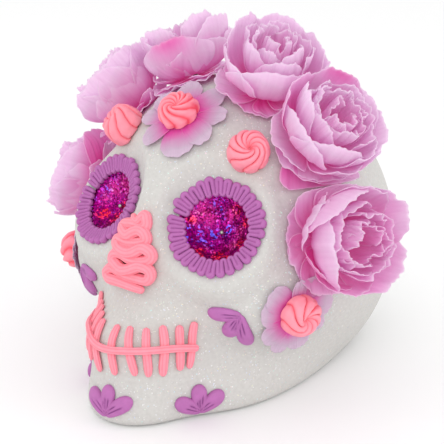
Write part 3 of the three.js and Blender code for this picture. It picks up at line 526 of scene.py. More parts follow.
SEQUINS, BEAD = sequin_cloth(), pin_steel()
for side, sign in (("left", 1), ("right", -1)):
    grid = dished_cloth(EYES[side], sign)
    # the patches of painted reflection and highlight, held by the cloth's points
    tints = {key: [glints(EYES[side], grid, patches)] for key, patches in FOIL_GLINTS[side].items()}
    cloth = shell(f"sequin_cloth_{side}", [grid], wrap=True, caps=1, marks=tints)
    thickened(cloth, FOIL_THICK)
    fixed(cloth, SEQUINS, "cloth_foil", f"eye_foil_{side}")
    pin = shell(f"bead_pin_{side}", [bead_pin(EYES[side])], wrap=True, caps=2, closed=True)
    fixed(pin, BEAD, "pin_metal", f"eye_pin_{side}")


# Each eye is ringed by one strand of lilac icing, piped from a small star tip, laid to and fro
# over the dish's edge in 30 hairpin loops that touch each other. It starts and ends at a small
# gap on the side of the nose or the temple.
RIM_INNER, RIM_OUTER, RIM_LOOPS = 19.0, 27.0, 30
RIM_LIFT, RIM_GAP_ANGLE, RIM_GAP, PASS_STEPS = 1.7, 172, 0.06, 20
RIM_PRESSED, RIM_TALLER = 1.16, 0.45


def strand(path, up, width, height, ribs, sides, depth=0.1, start=1.0, end=1.0):
    """A piped strand carried along a path: each ring is an oval of width across and height
    along up, with ribs round it as |cos| ridges of the given depth. Its ends round off over so
    many widths as start and end say, as the square root of 1 - (1 - s) squared."""
    along = unit(np.gradient(path, axis=0))
    side = unit(np.cross(along, up))
    up = np.cross(side, along)
    run = np.concatenate([[0], np.cumsum(np.linalg.norm(np.diff(path, axis=0), axis=1))])
    width, height = (np.broadcast_to(x, run.shape) for x in (width, height))
    near = clamped(run / (start * width[0]))
    far = clamped((run[-1] - run) / (end * width[-1]))
    blunt = np.sqrt(1 - (1 - near) ** 2 + 0.004) * np.sqrt(1 - (1 - far) ** 2 + 0.004)
    turn = all_round(sides)
    ridge = np.abs(np.cos(ribs * (turn - np.pi / 2) / 2)) ** 0.8
    size = (1 - depth * (1 - ridge)) * blunt[:, None]
    grid = (path[:, None] + side[:, None] * (np.cos(turn) * size * width[:, None])[..., None]
            + up[:, None] * (np.sin(turn) * size * height[:, None])[..., None])
    # the second value is painted shade: 1 down between the ribs, 0 on their crests
    return grid, (1 - ridge) * np.ones_like(run)[:, None]


def finer(points, factor):
    """A smooth line through points, as Catmull-Rom pieces with factor steps each."""
    p = np.concatenate([2 * points[:1] - points[1:2], points, 2 * points[-1:] - points[-2:-1]])
    t = np.linspace(0, 1, factor, endpoint=False)[None, :, None]
    a, b, c, d = (p[i:len(p) - 3 + i][:, None] for i in range(4))
    line = 0.5 * (2 * b + (c - a) * t + (2 * a - 5 * b + 4 * c - d) * t**2
                  + (3 * b - 3 * c + d - a) * t**3)
    return np.concatenate([line.reshape(-1, points.shape[1]), points[-1:]])


def rim_strand(eye, seed):
    """Straight passes between an inner and an outer edge: over a pass the radius swings by
    (1 - cos pi f) / 2. Within half a spacing of an edge the angle moves to the half-way line to
    the next pass as sqrt(1 - (1 - depth) squared), which makes the turn a half circle. Edges,
    angles and heights differ a little from pass to pass."""
    rng = np.random.default_rng(seed)
    passes = RIM_LOOPS * 2 - 1
    step = (2 * np.pi - RIM_GAP) / passes
    number = np.arange(passes + 1)
    first = np.radians(RIM_GAP_ANGLE) + RIM_GAP / 2
    ways = first + step * (number[:-1] + 0.5 + rng.uniform(-0.1, 0.1, passes))
    outer = RIM_OUTER + rng.uniform(-0.7, 0.8, passes + 1)
    edges = np.where(number % 2, outer, RIM_INNER + rng.uniform(-0.3, 0.3, passes + 1))
    s = np.linspace(0, passes, passes * PASS_STEPS + 1)
    k = np.minimum(s.astype(int), passes - 1)
    f = s - k
    r = edges[k] + (edges[k + 1] - edges[k]) * (1 - np.cos(np.pi * f)) / 2
    turn = np.where(f < 0.5, k, k + 1)
    before, after = ways[np.clip(turn - 1, 0, passes - 1)], ways[np.clip(turn, 0, passes - 1)]
    half = (after - before) / 2
    depth = clamped(np.abs(r - edges[turn]) / (r * half + 1e-6))
    angle = (before + after) / 2 + np.where(f < 0.5, 1, -1) * half * np.sqrt(1 - (1 - depth) ** 2)
    path = on_rim(eye, r, angle, RIM_LIFT + np.interp(s, number, rng.uniform(-0.1, 0.25, passes + 1)))
    fat = r * step / 2 * RIM_PRESSED
    return strand(path, np.broadcast_to(eye["out"], path.shape), fat, RIM_TALLER + fat, ribs=7, sides=20)


ICING = {}


def icing(name, crest, shaded_groove):
    """Dried piped icing: matt and faintly mottled, of one colour on the ribs, with painted shade of a deeper
    colour down in the grooves, for the shade there and the light that has gone through the icing twice."""
    paint, tree, shader = new_paint(name, Specular_IOR_Level=0.35)
    speckle = noise(tree, 260.0, 4.0)
    dimmer, lighter = (tuple(min(x * share, 1) for x in crest) for share in (0.93, 1.05))
    light = ramp(tree, speckle, (0.3, dimmer), (0.7, lighter))
    # painted shade: the colour deepens towards the grooves' colour down between the ribs
    deep = count(tree, "SMOOTH_MIN", count(tree, "POWER", mark(tree, "shaded_groove"), 1.6), 1.0, 0.1)
    feed(tree, shader, Base_Color=mixed(tree, deep, light, shaded_groove),
         Roughness=count(tree, "MULTIPLY_ADD", speckle, 0.2, 0.42),
         Normal=bumped(tree, noise(tree, 1500.0, 2.0), 0.12, 0.0004))
    ICING[name] = paint


def piped(name, colour, node_name, strands, deep=0.5):
    """One icing piece from pairs of a grid and how far down between the ribs each of its points lies, which is
    where painted shade is laid. Deep is how dark that painted shade in its grooves is."""
    piece = shell(f"piped_{name}", [grid for grid, _ in strands], wrap=True, caps=2, closed=True,
                  marks={"shaded_groove": [shaded_groove * deep for _, shaded_groove in strands]})
    fixed(piece, ICING[colour], colour, node_name)


# the second colour is painted shade for down in the grooves
icing("lilac_icing", (0.45, 0.14, 0.395), (0.2, 0.025, 0.2))
for side, seed in (("left", 5), ("right", 8)):
    piped(f"rim_{side}", "lilac_icing", f"eye_rim_{side}", [rim_strand(EYES[side], seed)])


# The nose is one thick strand of pink icing, from a star tip with fine teeth, laid to and fro
# down the middle of the face. Passes that run to the skull's left lie over the others.
# Places on its line are shares of the skull's height, across the face and up it.
NOSE_LINE_SHARES = (
    (-0.021, 0.633), (-0.012, 0.618), (0.003, 0.615), (0.014, 0.629), (0.023, 0.633), (0.029, 0.62),
    (0.028, 0.606), (0.01, 0.604), (-0.021, 0.604), (-0.041, 0.597), (-0.048, 0.584), (-0.038, 0.575),
    (-0.021, 0.571), (-0.006, 0.582), (0.015, 0.592), (0.032, 0.587), (0.04, 0.573), (0.032, 0.563),
    (0.006, 0.555), (-0.028, 0.55), (-0.056, 0.551), (-0.066, 0.538), (-0.05, 0.526), (-0.021, 0.521),
    (0.005, 0.527), (0.034, 0.545), (0.055, 0.541), (0.065, 0.524), (0.049, 0.509), (0.016, 0.502),
    (-0.017, 0.503), (-0.048, 0.509), (-0.074, 0.501), (-0.078, 0.484), (-0.056, 0.473), (-0.031, 0.465),
    (-0.001, 0.474), (0.031, 0.49), (0.058, 0.486), (0.066, 0.468), (0.051, 0.449), (0.019, 0.448),
    (-0.018, 0.448), (-0.051, 0.451), (-0.087, 0.453), (-0.11, 0.432), (-0.092, 0.418), (-0.048, 0.422),
    (-0.001, 0.42), (0.032, 0.417), (0.048, 0.419),
)
NOSE_STRAND, NOSE_LIFT, NOSE_STEP_UP = 3.6, 2.5, 2.0


def nose_strand():
    """The line is cast on the face along Y and lifted by its own half thickness, and by more on
    passes that run to the skull's left, which lie over the pass before."""
    line = finer(np.array(NOSE_LINE_SHARES), 7) * HEIGHT
    start = np.stack([line[:, 0], 0 * line[:, 0], line[:, 1]], -1)
    foot = leaving(start, np.broadcast_to((0.0, -1.0, 0.0), start.shape))
    out = foam_normal(foot)
    heading = np.gradient(line[:, 0]) / np.linalg.norm(np.gradient(line, axis=0), axis=1)
    over = np.convolve(np.pad(clamped(heading), 8, mode="edge"), np.ones(17) / 17, mode="valid")
    run = np.linspace(0, 1, len(line))
    fat = NOSE_STRAND * np.interp(run, [0, 0.03, 0.08, 0.5, 0.93, 1], [0.42, 0.62, 0.95, 1, 0.95, 0.6])
    path = foot + out * (NOSE_LIFT + NOSE_STEP_UP * over)[:, None]
    return strand(path, out, fat, fat, ribs=9, sides=36, depth=0.09)


# the second colour is painted shade for down in the grooves
icing("pink_icing", (0.96, 0.3, 0.375), (0.9, 0.085, 0.13))
piped("nose", "pink_icing", "nose_piping", [nose_strand()])


# The mouth is eleven short upright strands of pink icing and one long strand laid across them,
# all with two or three ribs from the tip. Directions are degrees round an upright axis in the
# jaw, heights are shares of the skull's height.
MOUTH_AXIS = -0.2688
TOOTH_LINES = (
    # the direction of its top and of its bottom, then how high they lie
    (-76, -66, 0.3253, 0.1806), (-62, -54, 0.3151, 0.1817), (-49, -39, 0.3145, 0.172),
    (-36, -23, 0.3091, 0.172), (-24, -8, 0.3011, 0.1613), (-1.5, 6, 0.3065, 0.1694),
    (11.5, 21.5, 0.3097, 0.1774), (27.5, 31, 0.3091, 0.1737), (43.5, 42, 0.3156, 0.172),
    (61, 56, 0.3151, 0.1817), (75, 64, 0.3253, 0.1806),
)
TOOTH_HALF_WIDTH, TOOTH_HALF_HEIGHT, TOOTH_LIFT = 2.75, 1.7, 1.4
BAR_LINE = (
    (-80, 0.2419), (-66, 0.2473), (-50, 0.2527), (-34, 0.2516), (-20, 0.2452), (-8, 0.2409), (4, 0.2452),
    (16, 0.2505), (30, 0.2538), (44, 0.2543), (58, 0.2505), (68, 0.2463), (73.5, 0.2444),
)
BAR_HALF_WIDTH, BAR_HALF_HEIGHT, BAR_LIFT = 2.3, 1.9, 3.6


def on_mouth(degrees, share):
    """Where a level ray from the mouth's axis leaves the foam."""
    angle = np.radians(degrees)
    start = np.stack([0 * angle, 0 * angle + MOUTH_AXIS, share + 0 * angle], -1) * HEIGHT
    return leaving(start, np.stack([np.sin(angle), -np.cos(angle), 0 * angle], -1))


def tooth_strand(line, seed):
    """A straight stroke from the top to the bottom, widest under the middle, with a soft start
    and a drawn-out end, and a slight sway."""
    top, bottom, high, low = line
    rng = np.random.default_rng(seed)
    t = np.linspace(0, 1, 40)
    sway = rng.uniform(-1, 1, 2)
    degrees = (top + (bottom - top) * t + 1.2 * sway[0] * np.sin(np.pi * t)
               + 0.7 * sway[1] * np.sin(2 * np.pi * t))
    foot = on_mouth(degrees, high + (low - high) * t)
    out = foam_normal(foot)
    fat = np.interp(t, [0, 0.15, 0.5, 0.8, 1], [0.72, 0.95, 1, 0.98, 0.7]) * rng.uniform(0.95, 1.08)
    path = foot + out * (TOOTH_LIFT + 0.25 * np.sin(3 * t + sway[0]))[:, None]
    return strand(path, out, TOOTH_HALF_WIDTH * fat, TOOTH_HALF_HEIGHT * fat, ribs=7, sides=28, depth=0.16,
                  start=0.9, end=1.3)


def bar_strand():
    """The line across the teeth, lifted over them, with a faint ripple along it."""
    line = finer(np.array(BAR_LINE, float), 10)
    foot = on_mouth(line[:, 0], line[:, 1])
    out = foam_normal(foot)
    lift = BAR_LIFT + 0.18 * np.sin(np.linspace(0, 40, len(line)))
    return strand(foot + out * lift[:, None], out, BAR_HALF_WIDTH, BAR_HALF_HEIGHT, ribs=6, sides=30, depth=0.2)


for n, line in enumerate(TOOTH_LINES):
    piped(f"tooth_{n + 1:02d}", "pink_icing", f"tooth_{n + 1:02d}", [tooth_strand(line, 20 + n)], deep=0.55)
piped("mouth", "pink_icing", "mouth_bar", [bar_strand()], deep=0.6)


# Five rosettes of pink icing: a star tip was turned as it was lifted, so the ribs wind up a
# dome and into a small hole. The last rib ends in a fold on the rim.
ROSETTES = {
    # name: (spot as shares of the height, ribs, swirl in degrees, base height, where it ends, height)
    "rosette_forehead": ((-0.0134, -0.1167, 0.893), 8, 150, 2.1, 60, 13.8),
    "rosette_temple_left": ((0.2323, -0.1091, 0.8129), 8, -145, 0.6, 45, 13.8),
    "rosette_temple_right": ((-0.2323, -0.1091, 0.8129), 8, -115, 0.6, 120, 16.5),
    "rosette_cheek_left": ((0.4366, -0.1435, 0.3575), 7, -125, 2.1, 20, 13.8),
    "rosette_cheek_right": ((-0.4366, -0.1435, 0.3575), 7, 125, 2.1, 160, 13.8),
}
ROSETTE_RADIUS, RIB_DEPTH, ROSETTE_RISE, ROSETTE_ROUND = 12.5, 2.9, 84, 180
# the profile from the rim to the hole: how far along it, how far out and how high, as shares
ROSETTE_PROFILE = ((0, 0.86, 0), (0.1, 0.97, 0.06), (0.24, 1, 0.3), (0.4, 0.9, 0.66), (0.54, 0.7, 0.93),
                   (0.66, 0.5, 1), (0.8, 0.28, 0.9), (0.91, 0.12, 0.7), (1, 0.03, 0.52))


def seat_frame(place):
    """A frame that stands on the skull at a place, given in shares of its height. Its up is as
    near +Z as it can be."""
    origin = seated(sized(place))
    out = foam_normal(origin)
    across = unit(np.cross((0, 0, 1), out))
    return frame_of(origin, across, np.cross(out, across), out)


def profile_curve(t, column):
    """One column of the rosette's profile read as a line, smoothed twice."""
    table = np.array(ROSETTE_PROFILE)
    fine = np.linspace(0, 1, 201)
    line = np.interp(fine, table[:, 0], table[:, column])
    for _ in range(2):
        line = np.convolve(np.pad(line, 4, mode="edge"), np.ones(9) / 9, mode="valid")
    return np.interp(t, fine, line)


def rosette_dome(local, ribs, swirl, base, ends, top):
    """Rows climb a rounded profile from the rim to the hole. A rib's phase is ribs times the
    angle and a swirl that grows towards the hole, skewed by its own sine, and the ribs stand out
    as |cos| ** 0.5: fat, with sharp valleys. At the angle where the strand ends, the rim has a
    lobe with a crease beside it."""
    t, turn = np.linspace(0, 1, ROSETTE_RISE)[:, None], all_round(ROSETTE_ROUND)
    reach, rise = profile_curve(t, 1), profile_curve(t, 2)
    phase = ribs * (turn + np.radians(swirl) * (1 - reach))
    phase = phase + 0.55 * np.sign(swirl) * np.sin(phase)
    ridge = np.abs(np.cos(phase / 2)) ** 0.5
    off = turn - np.radians(ends) - 0.5 * np.radians(swirl) * (reach - 1)
    off = (off + np.pi) % (2 * np.pi) - np.pi
    lobe = np.exp(-(off / 0.42) ** 2)
    crease = np.exp(-((off + 0.5 * np.sign(swirl)) / 0.12) ** 2)
    outer = clamped(reach * 1.6 - 0.6)
    depth = RIB_DEPTH * np.clip(reach * 1.7, 0.14, 1) * (1 - 0.3 * t)
    sunk = depth * (1 - ridge) * (1 - 0.45 * clamped((reach - 0.8) / 0.2))
    r = (ROSETTE_RADIUS * reach * (1 + 0.04 * lobe * outer) - sunk * np.clip(1.3 - rise, 0.2, 1)
         - 0.6 * crease * outer)
    h = base + (top - base) * rise - sunk * clamped(rise) + (0.5 * lobe - 0.5 * crease) * outer * rise
    r = np.maximum(r, 0.15)
    p = about(local, r, turn, h)
    foot = seated(about(local, r[0], turn[0], 0 * r[0]))
    low = foot + foam_normal(foot) * (base - 0.2)
    sink = clamped(1 - rise / 0.5)[..., None] ** 2
    p = p + ((low - spot(local, 0, 0, base)) @ local["out"])[None, :, None] * local["out"] * sink
    # the second value is painted shade, deepest down between the ribs and in the crease beside the lobe
    return p, clamped((1 - ridge) * 1.25 + 0.6 * crease * outer)


for name, (place, *shape) in ROSETTES.items():
    piped(name, "pink_icing", name, [rosette_dome(seat_frame(place), *shape)], deep=1)


# Five sprigs of lilac icing, each three plump pressed drops that meet at a root, with two or
# three grooves pressed in from the root. Roots and tips are shares of the skull's height.
SPRIGS = {
    "sprig_cheek_left": ((0.3199, -0.2704, 0.3602), ((0.2339, -0.3038, 0.364), (0.272, -0.2661, 0.2871),
                                                     (0.3161, -0.2194, 0.2511))),
    "sprig_chin": ((0.0086, -0.5387, 0.0425), ((-0.0704, -0.5081, 0.0876), (0.0005, -0.5129, 0.1226),
                                               (0.0753, -0.5027, 0.0941))),
    "sprig_jaw_left": ((0.2188, -0.3419, 0.0339), ((0.1763, -0.4005, 0.0753), (0.2113, -0.3392, 0.114),
                                                   (0.2602, -0.2839, 0.0839))),
}
for name in ("sprig_cheek_left", "sprig_jaw_left"):
    root, tips = SPRIGS[name]
    SPRIGS[name.replace("left", "right")] = np.array(root) * (-1, 1, 1), np.array(tips) * (-1, 1, 1)
SPRIG_HALF_WIDTH, SPRIG_HEIGHT, SPRIG_OVERHANG = 4.7, 3.1, 1.3
SPRIG_CLEAR, GROOVE_DEPTH, DROP_RISE, DROP_ROUND = 0.4, 1.25, 46, 56


def icing_drop(root, tip, seed):
    """A drop that lies on the skull. Its half width grows as a sine from a narrow root and ends
    in a half circle, its back is a rounded half ellipse, and two or three V-shaped grooves fade
    out from the root."""
    rng = np.random.default_rng(seed)
    foot, head = seated(sized(root)), seated(sized(tip))
    way = head - foot
    length = np.linalg.norm(way) + 2 * SPRIG_OVERHANG
    side = unit(np.cross(foam_normal(seated((foot + head) / 2)), way))
    t = np.sin(np.linspace(-0.495, 0.495, DROP_RISE)[:, None] * np.pi) / 2 + 0.5
    turn = all_round(DROP_ROUND)
    round_tip = np.sqrt(1 - clamped((t - 0.68) / 0.325) ** 2)
    round_root = np.sqrt(1 - (1 - clamped(t / 0.14)) ** 2)
    fat = (0.5 + 0.5 * np.sin(np.pi / 2 * clamped(t / 0.66))) * round_tip * round_root
    half = min(SPRIG_HALF_WIDTH, 0.36 * length) * fat * rng.uniform(0.96, 1.06)
    places = (-0.42, 0.05, 0.45) if seed % 2 else (-0.3, 0.28)
    reach = rng.uniform(0.5, 0.72, len(places))
    across = np.cos(turn)
    shaded_groove = [np.exp(-((across - x * (0.6 + 0.5 * t)) / 0.085) ** 2) * clamped((far - t) / 0.12)
              * clamped(t / 0.1) for x, far in zip(places, reach)]
    shaded_groove = np.max(shaded_groove, axis=0) * (np.sin(turn) > 0)
    back = SPRIG_HEIGHT * (0.6 + 0.4 * clamped(t / 0.6)) * fat ** 0.7 * np.abs(np.sin(turn)) ** 0.72
    back = np.where(np.sin(turn) > 0, back - GROOVE_DEPTH * shaded_groove * fat, -0.12 * back)
    base = foot + unit(way) * (length * t - SPRIG_OVERHANG)[..., None] + side * (half * across)[..., None]
    ground = seated(base)
    # the grooves' mask also marks where painted shade lies down in them
    return ground + foam_normal(ground) * (SPRIG_CLEAR + back)[..., None], shaded_groove


for name, (root, tips) in SPRIGS.items():
    drops = [icing_drop(root, tip, n + len(name)) for n, tip in enumerate(tips)]
    piped(name, "lilac_icing", name, drops, deep=1)


# Three cloth blossoms lie under the forehead and cheek rosettes. Each is a ring of eight or nine
# petals of thin dyed cloth, pale at the tips and magenta at the middle, pleated along their
# length. A row is one petal: the way it points, its reach, half width and how far its tip lifts.
BLOSSOMS = {
    "blossom_forehead": ((-0.0134, -0.1167, 0.893), (
        (112, 30, 7, 4.5), (60, 29.5, 6.8, 3), (20, 29, 6.2, 3.2), (-22, 29.5, 6.8, 2.4), (-65, 30.5, 9, 1.8),
        (-125, 28, 6.4, 1.4), (-174, 30.5, 6.8, 2.6), (153, 29.5, 7.2, 3.6))),
    "blossom_cheek_left": ((0.4366, -0.1435, 0.3575), (
        (137, 23.5, 7.6, 2), (86, 20, 4.4, 4), (40, 25, 8.4, 4), (-8, 29, 7.4, 4), (-40, 30, 6.8, 4),
        (-74, 31, 7.2, 5), (-103, 31, 7, 4.5), (-134, 28, 7.4, 2.5), (174, 24, 7.6, 2.2))),
    "blossom_cheek_right": ((-0.4366, -0.1435, 0.3575), (
        (43, 23, 7.6, 2), (94, 20, 4.6, 3), (140, 24, 8, 2.5), (188, 26, 7, 2), (220, 26, 6.4, 2),
        (256, 27, 4.2, 5), (-52, 25, 7.4, 2), (6, 23, 7.6, 1.6), (-24, 24, 6.4, 1.4))),
}
CLOTH_THICK, CLOTH_ROOT, CLOTH_CLEAR, CLOTH_ROWS, CLOTH_COLUMNS = 0.3, 3, 0.45, 36, 31


def blossom_petal(local, row, seed):
    """A tongue of cloth from the middle outwards: the half width grows as a sine, the tip is
    rounded and faintly cut, one long edge lies higher than the other, pleats run along it, and
    the tip lifts off the skull as the length to the power 2.2. Where the cloth would sink below
    its clearance, log(1 + exp) eases it out."""
    rng = np.random.default_rng(seed)
    around, reach, half_width, lift = row
    u = np.linspace(0, 1, CLOTH_ROWS)[:, None]
    v = np.linspace(-1, 1, CLOTH_COLUMNS)[None, :]
    cuts = 0.012 * np.sin(9 * v + seed) + 0.014 * np.abs(np.sin(6 * v + 2 * seed))
    s = u * (1 - 0.27 * np.abs(v) ** 2.7 - cuts)
    r = CLOTH_ROOT + (reach - CLOTH_ROOT) * s
    wide = half_width * 1.2 * (0.42 + 0.58 * np.sin(np.pi / 2 * clamped(s / 0.66)))
    a = v * wide + rng.uniform(-1.3, 1.3) * s**2
    x, y = swung(r, a, around)
    ground = seated(spot(local, x, y, 0 * x))
    pleat = 0.3 * np.sin(9 * v + seed) * s + 0.14 * np.sin(21 * v + 2 * seed) * s
    bow = rng.uniform(-1.0, 1.6) * (v**2 - 0.4) * s**2 + 0.55 * v * s
    high = 0.95 + lift * s**2.2 + 0.5 * (seed % 2) + pleat + bow + 0.35 * np.sin(5 * s + seed) * s
    high = CLOTH_CLEAR + np.logaddexp(0, (high - CLOTH_CLEAR) * 2.5) / 2.5
    return ground + foam_normal(ground) * high[..., None], clamped((s - 0.24) / 0.6) + 0 * v


EDGE_PALE = (0.9, 0.83, 0.9)


def petal_cloth(name, deep, middle, pale, through, veins, glow, glow_strength, edge):
    """Thin dyed cloth: the dye runs from deep at the root through middle to a pale edge, with
    fine pleat lines along it and a woven grain. Some of the light passes through the cloth, and a faint glow of
    the cloth's own colour is painted on as made-up light, which lifts the shade between the layers in place of
    the light that has gone through many layers."""
    paint, tree, shader = new_paint(name, Roughness=0.75, Specular_IOR_Level=0.15, Sheen_Weight=0.15,
                                    Sheen_Roughness=0.5, Emission_Strength=glow_strength)
    along = mark(tree, "along")
    # the along mark is the dye, and on two peony petals painted shade at the tip
    dyed = count(tree, "ADD", along, count(tree, "MULTIPLY_ADD", noise(tree, 55.0, 3.0), 0.5, -0.25))
    palest = tuple(min(x * 1.05, 1) for x in pale)
    colour = ramp(tree, dyed, (0.12, deep), (0.55, middle), (0.92, pale), (1.0, palest))
    across = count(tree, "MULTIPLY", mark(tree, "across"), veins)
    lines = node(tree, "CombineXYZ", {0: across, 1: along}).outputs[0]
    lines = node(tree, "TexNoise", {"Vector": lines, "Scale": 1.0, "Detail": 4.0}).outputs["Fac"]
    shade = ramp(tree, lines, (0.32, (0.96, 0.9, 0.95)), (0.6, (1.0, 1.0, 1.0)))
    colour = mixed(tree, 0.7, colour, shade, "MULTIPLY")
    colour = mixed(tree, count(tree, "MULTIPLY", mark(tree, "rim"), edge), colour, EDGE_PALE)
    relief = count(tree, "MULTIPLY", noise(tree, 1300.0, 2.0), 0.35)
    relief = bumped(tree, count(tree, "MULTIPLY_ADD", lines, 0.6, relief), 0.25, 0.0005)
    # painted glow: the cloth shines faintly with no lamp, to lift its shade
    faint = mixed(tree, 1.0, colour, glow, "MULTIPLY")
    feed(tree, shader, Base_Color=colour, Emission_Color=faint, Normal=relief)
    behind = node(tree, "BsdfTranslucent", {"Color": colour, "Normal": relief})
    both = node(tree, "MixShader", {0: through, 1: shader.outputs[0], 2: behind.outputs[0]})
    tree.links.new(both.outputs[0], tree.nodes["Material Output"].inputs["Surface"])
    return paint


def petals(name, paint, slot, node_name, made, thick):
    """A sheet cut into petals, from pairs of a grid (u from root to tip, v across) and how pale
    the dye is over it. The rim mark is the larger of u and |v| to the power 26. Gives the piece
    and its grids."""
    grids = [grid for grid, _ in made]
    u, v = (np.linspace(a, 1, n) for a, n in zip((0, -1), grids[0].shape))
    marks = {"along": [pale for _, pale in made], "across": [v[None, :] + 3 * n for n in range(len(made))],
             "rim": [np.maximum(u[:, None], np.abs(v)[None, :]) ** 26] * len(made)}
    piece = shell(name, grids, marks=marks)
    thickened(piece, thick)
    return fixed(piece, paint, slot, node_name), grids


BLOSSOM_CLOTH = petal_cloth(
    "blossom_cloth", deep=(0.78, 0.09, 0.45), middle=(0.69, 0.37, 0.59), pale=(0.66, 0.53, 0.65), through=0.3,
    veins=9.0, glow=(1.0, 0.45, 0.78), glow_strength=0.07, edge=0.2)
for number, (name, (place, rows)) in enumerate(BLOSSOMS.items()):
    local = seat_frame(place)
    made = [blossom_petal(local, row, 10 * number + n) for n, row in enumerate(rows)]
    blossom, grids = petals(f"cloth_{name}", BLOSSOM_CLOTH, "blossom_cloth", name, made, CLOTH_THICK)
    cut = 0.001 + 0.002 * max(reach for _, reach, _, _ in rows)


# Six silk peonies stand in an arch from ear to ear over the top, each on a wired stem pushed
# into the foam. A peony is a ruffled heart in a bowl of wide cupped petals, over a few thin
# spread petals. Middles are shares of the skull's height.
PEONY_MIDDLES = {
    "left_crown": (0.1943, 0.0807, 1.0659),
    "left_temple": (0.4355, 0.0473, 0.9215),
    "left_ear": (0.5796, -0.0387, 0.5871),
    "right_crown": (-0.2081, 0.1548, 1.0634),
    "right_temple": (-0.4355, 0.0473, 0.9215),
    "right_ear": (-0.5796, -0.0387, 0.5871),
}
PEONY_DEPTH, NEIGHBOUR_SOFT, NEIGHBOUR_GAP, SKIN_GAP = 24, 8, 0.2, 0.7
PETAL_ROWS, PETAL_COLUMNS, SILK_THICK = 28, 53, 0.35


def peony_frame(middle):
    """The flower's axis runs out through its middle; its foot is where that meets the skull."""
    out = foam_normal(middle)
    across = unit(np.cross((0, 0, 1), out))
    local = frame_of(seated(middle - out * PEONY_DEPTH), across, np.cross(out, across), out)
    return {**local, "middle": middle}


PEONIES = {name: peony_frame(sized(middle)) for name, middle in PEONY_MIDDLES.items()}


def silk_petal(around, reach, height, bend, half, cup, ruffle, tuck, skew, pale, root, seed):
    """One petal in its flower's frame. Its middle line turns by bend degrees towards the axis,
    and by tuck more in its last third; its lean and length follow from where its tip lies. The
    half width grows as a sine, and the petal is cupped across by cup degrees each way. The edge
    is rounded by |v| to the power 3.6 and cut into small teeth, and sine waves ruffle it. The dye is deepest at
    the root; a negative pale instead lays a deep patch of painted shade at the middle of the tip, for the shade
    in the hollow of a cup."""
    rng = np.random.default_rng(seed)
    u = np.linspace(0, 1, PETAL_ROWS)[:, None] ** 0.85
    v = np.linspace(-1, 1, PETAL_COLUMNS)[None, :]
    p = rng.uniform(0, 2 * np.pi, 9)
    teeth = (np.abs(np.sin(5.3 * v + p[0])) + 0.7 * np.abs(np.sin(11.7 * v + p[1]))
             + 0.6 * np.abs(np.sin(19 * v + p[2])) + 1.2 * np.exp(-((v - rng.uniform(-0.6, 0.6)) / 0.1) ** 2))
    s = u * (1 - 0.34 * np.abs(v) ** 3.6 - 0.022 * teeth)
    fine = np.linspace(0, 1, 161)
    turned = np.radians(bend * fine ** 1.1 + tuck * clamped((fine - 0.66) / 0.34) ** 1.6)
    line = np.concatenate([[0], np.cumsum(np.exp(-1j * turned[1:]) / 160)])
    chord = complex(height - root[1], reach - root[0])
    length, lean = abs(chord) / abs(line[-1]), np.angle(chord) - np.angle(line[-1])
    line = line * length * np.exp(1j * lean)
    r, h = root[0] + np.interp(s, fine, line.imag), root[1] + np.interp(s, fine, line.real)
    angle = lean - np.interp(s, fine, turned)
    wide = half * (0.15 + 0.85 * np.sin(np.pi / 2 * clamped(s / 0.62)) ** 0.8)
    wide = wide * (1 - 0.1 * clamped(s - 0.75))
    gamma = np.radians(cup * (0.55 + 0.45 * s))
    side = wide * np.sin(gamma * v) / gamma
    inward = wide * (1 - np.cos(gamma * v)) / gamma
    edge = clamped(s) ** 2.4 * (0.5 + 0.7 * np.abs(v) ** 1.3)
    wave = (np.sin(4.1 * v + p[3] + 1.5 * s) + 0.7 * np.sin(8.7 * v + p[4] - 3 * s)
            + 0.45 * np.sin(16 * v + p[5]) + 0.22 * np.sin(31 * v + p[6] + 4 * s))
    pleat = ((0.26 * np.sin(17 * v + p[7]) + 0.12 * np.sin(29 * v + p[3])) * np.sin(np.pi * s)
             + 0.3 * np.sin(6 * s + p[8]) * np.cos(2.5 * v + p[7]))
    inward = inward + ruffle * edge * wave + pleat
    side = side + 0.35 * ruffle * edge * np.sin(5 * s + 3 * v + p[6]) + skew * s ** 1.5
    x, y = swung(r - inward * np.cos(angle), side, around)
    # a negative pale is painted shade, deepest at the middle of the tip
    dyed = s * pale if pale > 0 else 1 + pale * s**2.4 * (1 - v**2) ** 1.5
    return np.stack([x, y, h + inward * np.sin(angle)], -1), dyed


def kept_off(p, local):
    """Points nearer than NEIGHBOUR_SOFT to the half-way plane to another peony are pressed back
    by a hyperbolic tangent, so that none crosses it. Points near the skull are then pushed out to
    where they clear it, which an exponential eases, in three steps along its normal."""
    for other in PEONIES.values():
        if other is local:
            continue
        way = unit(local["middle"] - other["middle"])
        s = (p - (local["middle"] + other["middle"]) / 2) @ way
        soft = NEIGHBOUR_SOFT - NEIGHBOUR_GAP
        pressed = NEIGHBOUR_SOFT - soft * np.tanh((NEIGHBOUR_SOFT - s) / soft)
        p = p + way * np.where(s < NEIGHBOUR_SOFT, pressed - s, 0)[..., None]
    for _ in range(3):
        d = foam_distance(p)
        clear = np.where(d < 2 * SKIN_GAP, SKIN_GAP + SKIN_GAP * np.exp(np.minimum(d / SKIN_GAP - 2, 0)), d)
        p = p + foam_normal(p) * (clear - d)[..., None]
    return p


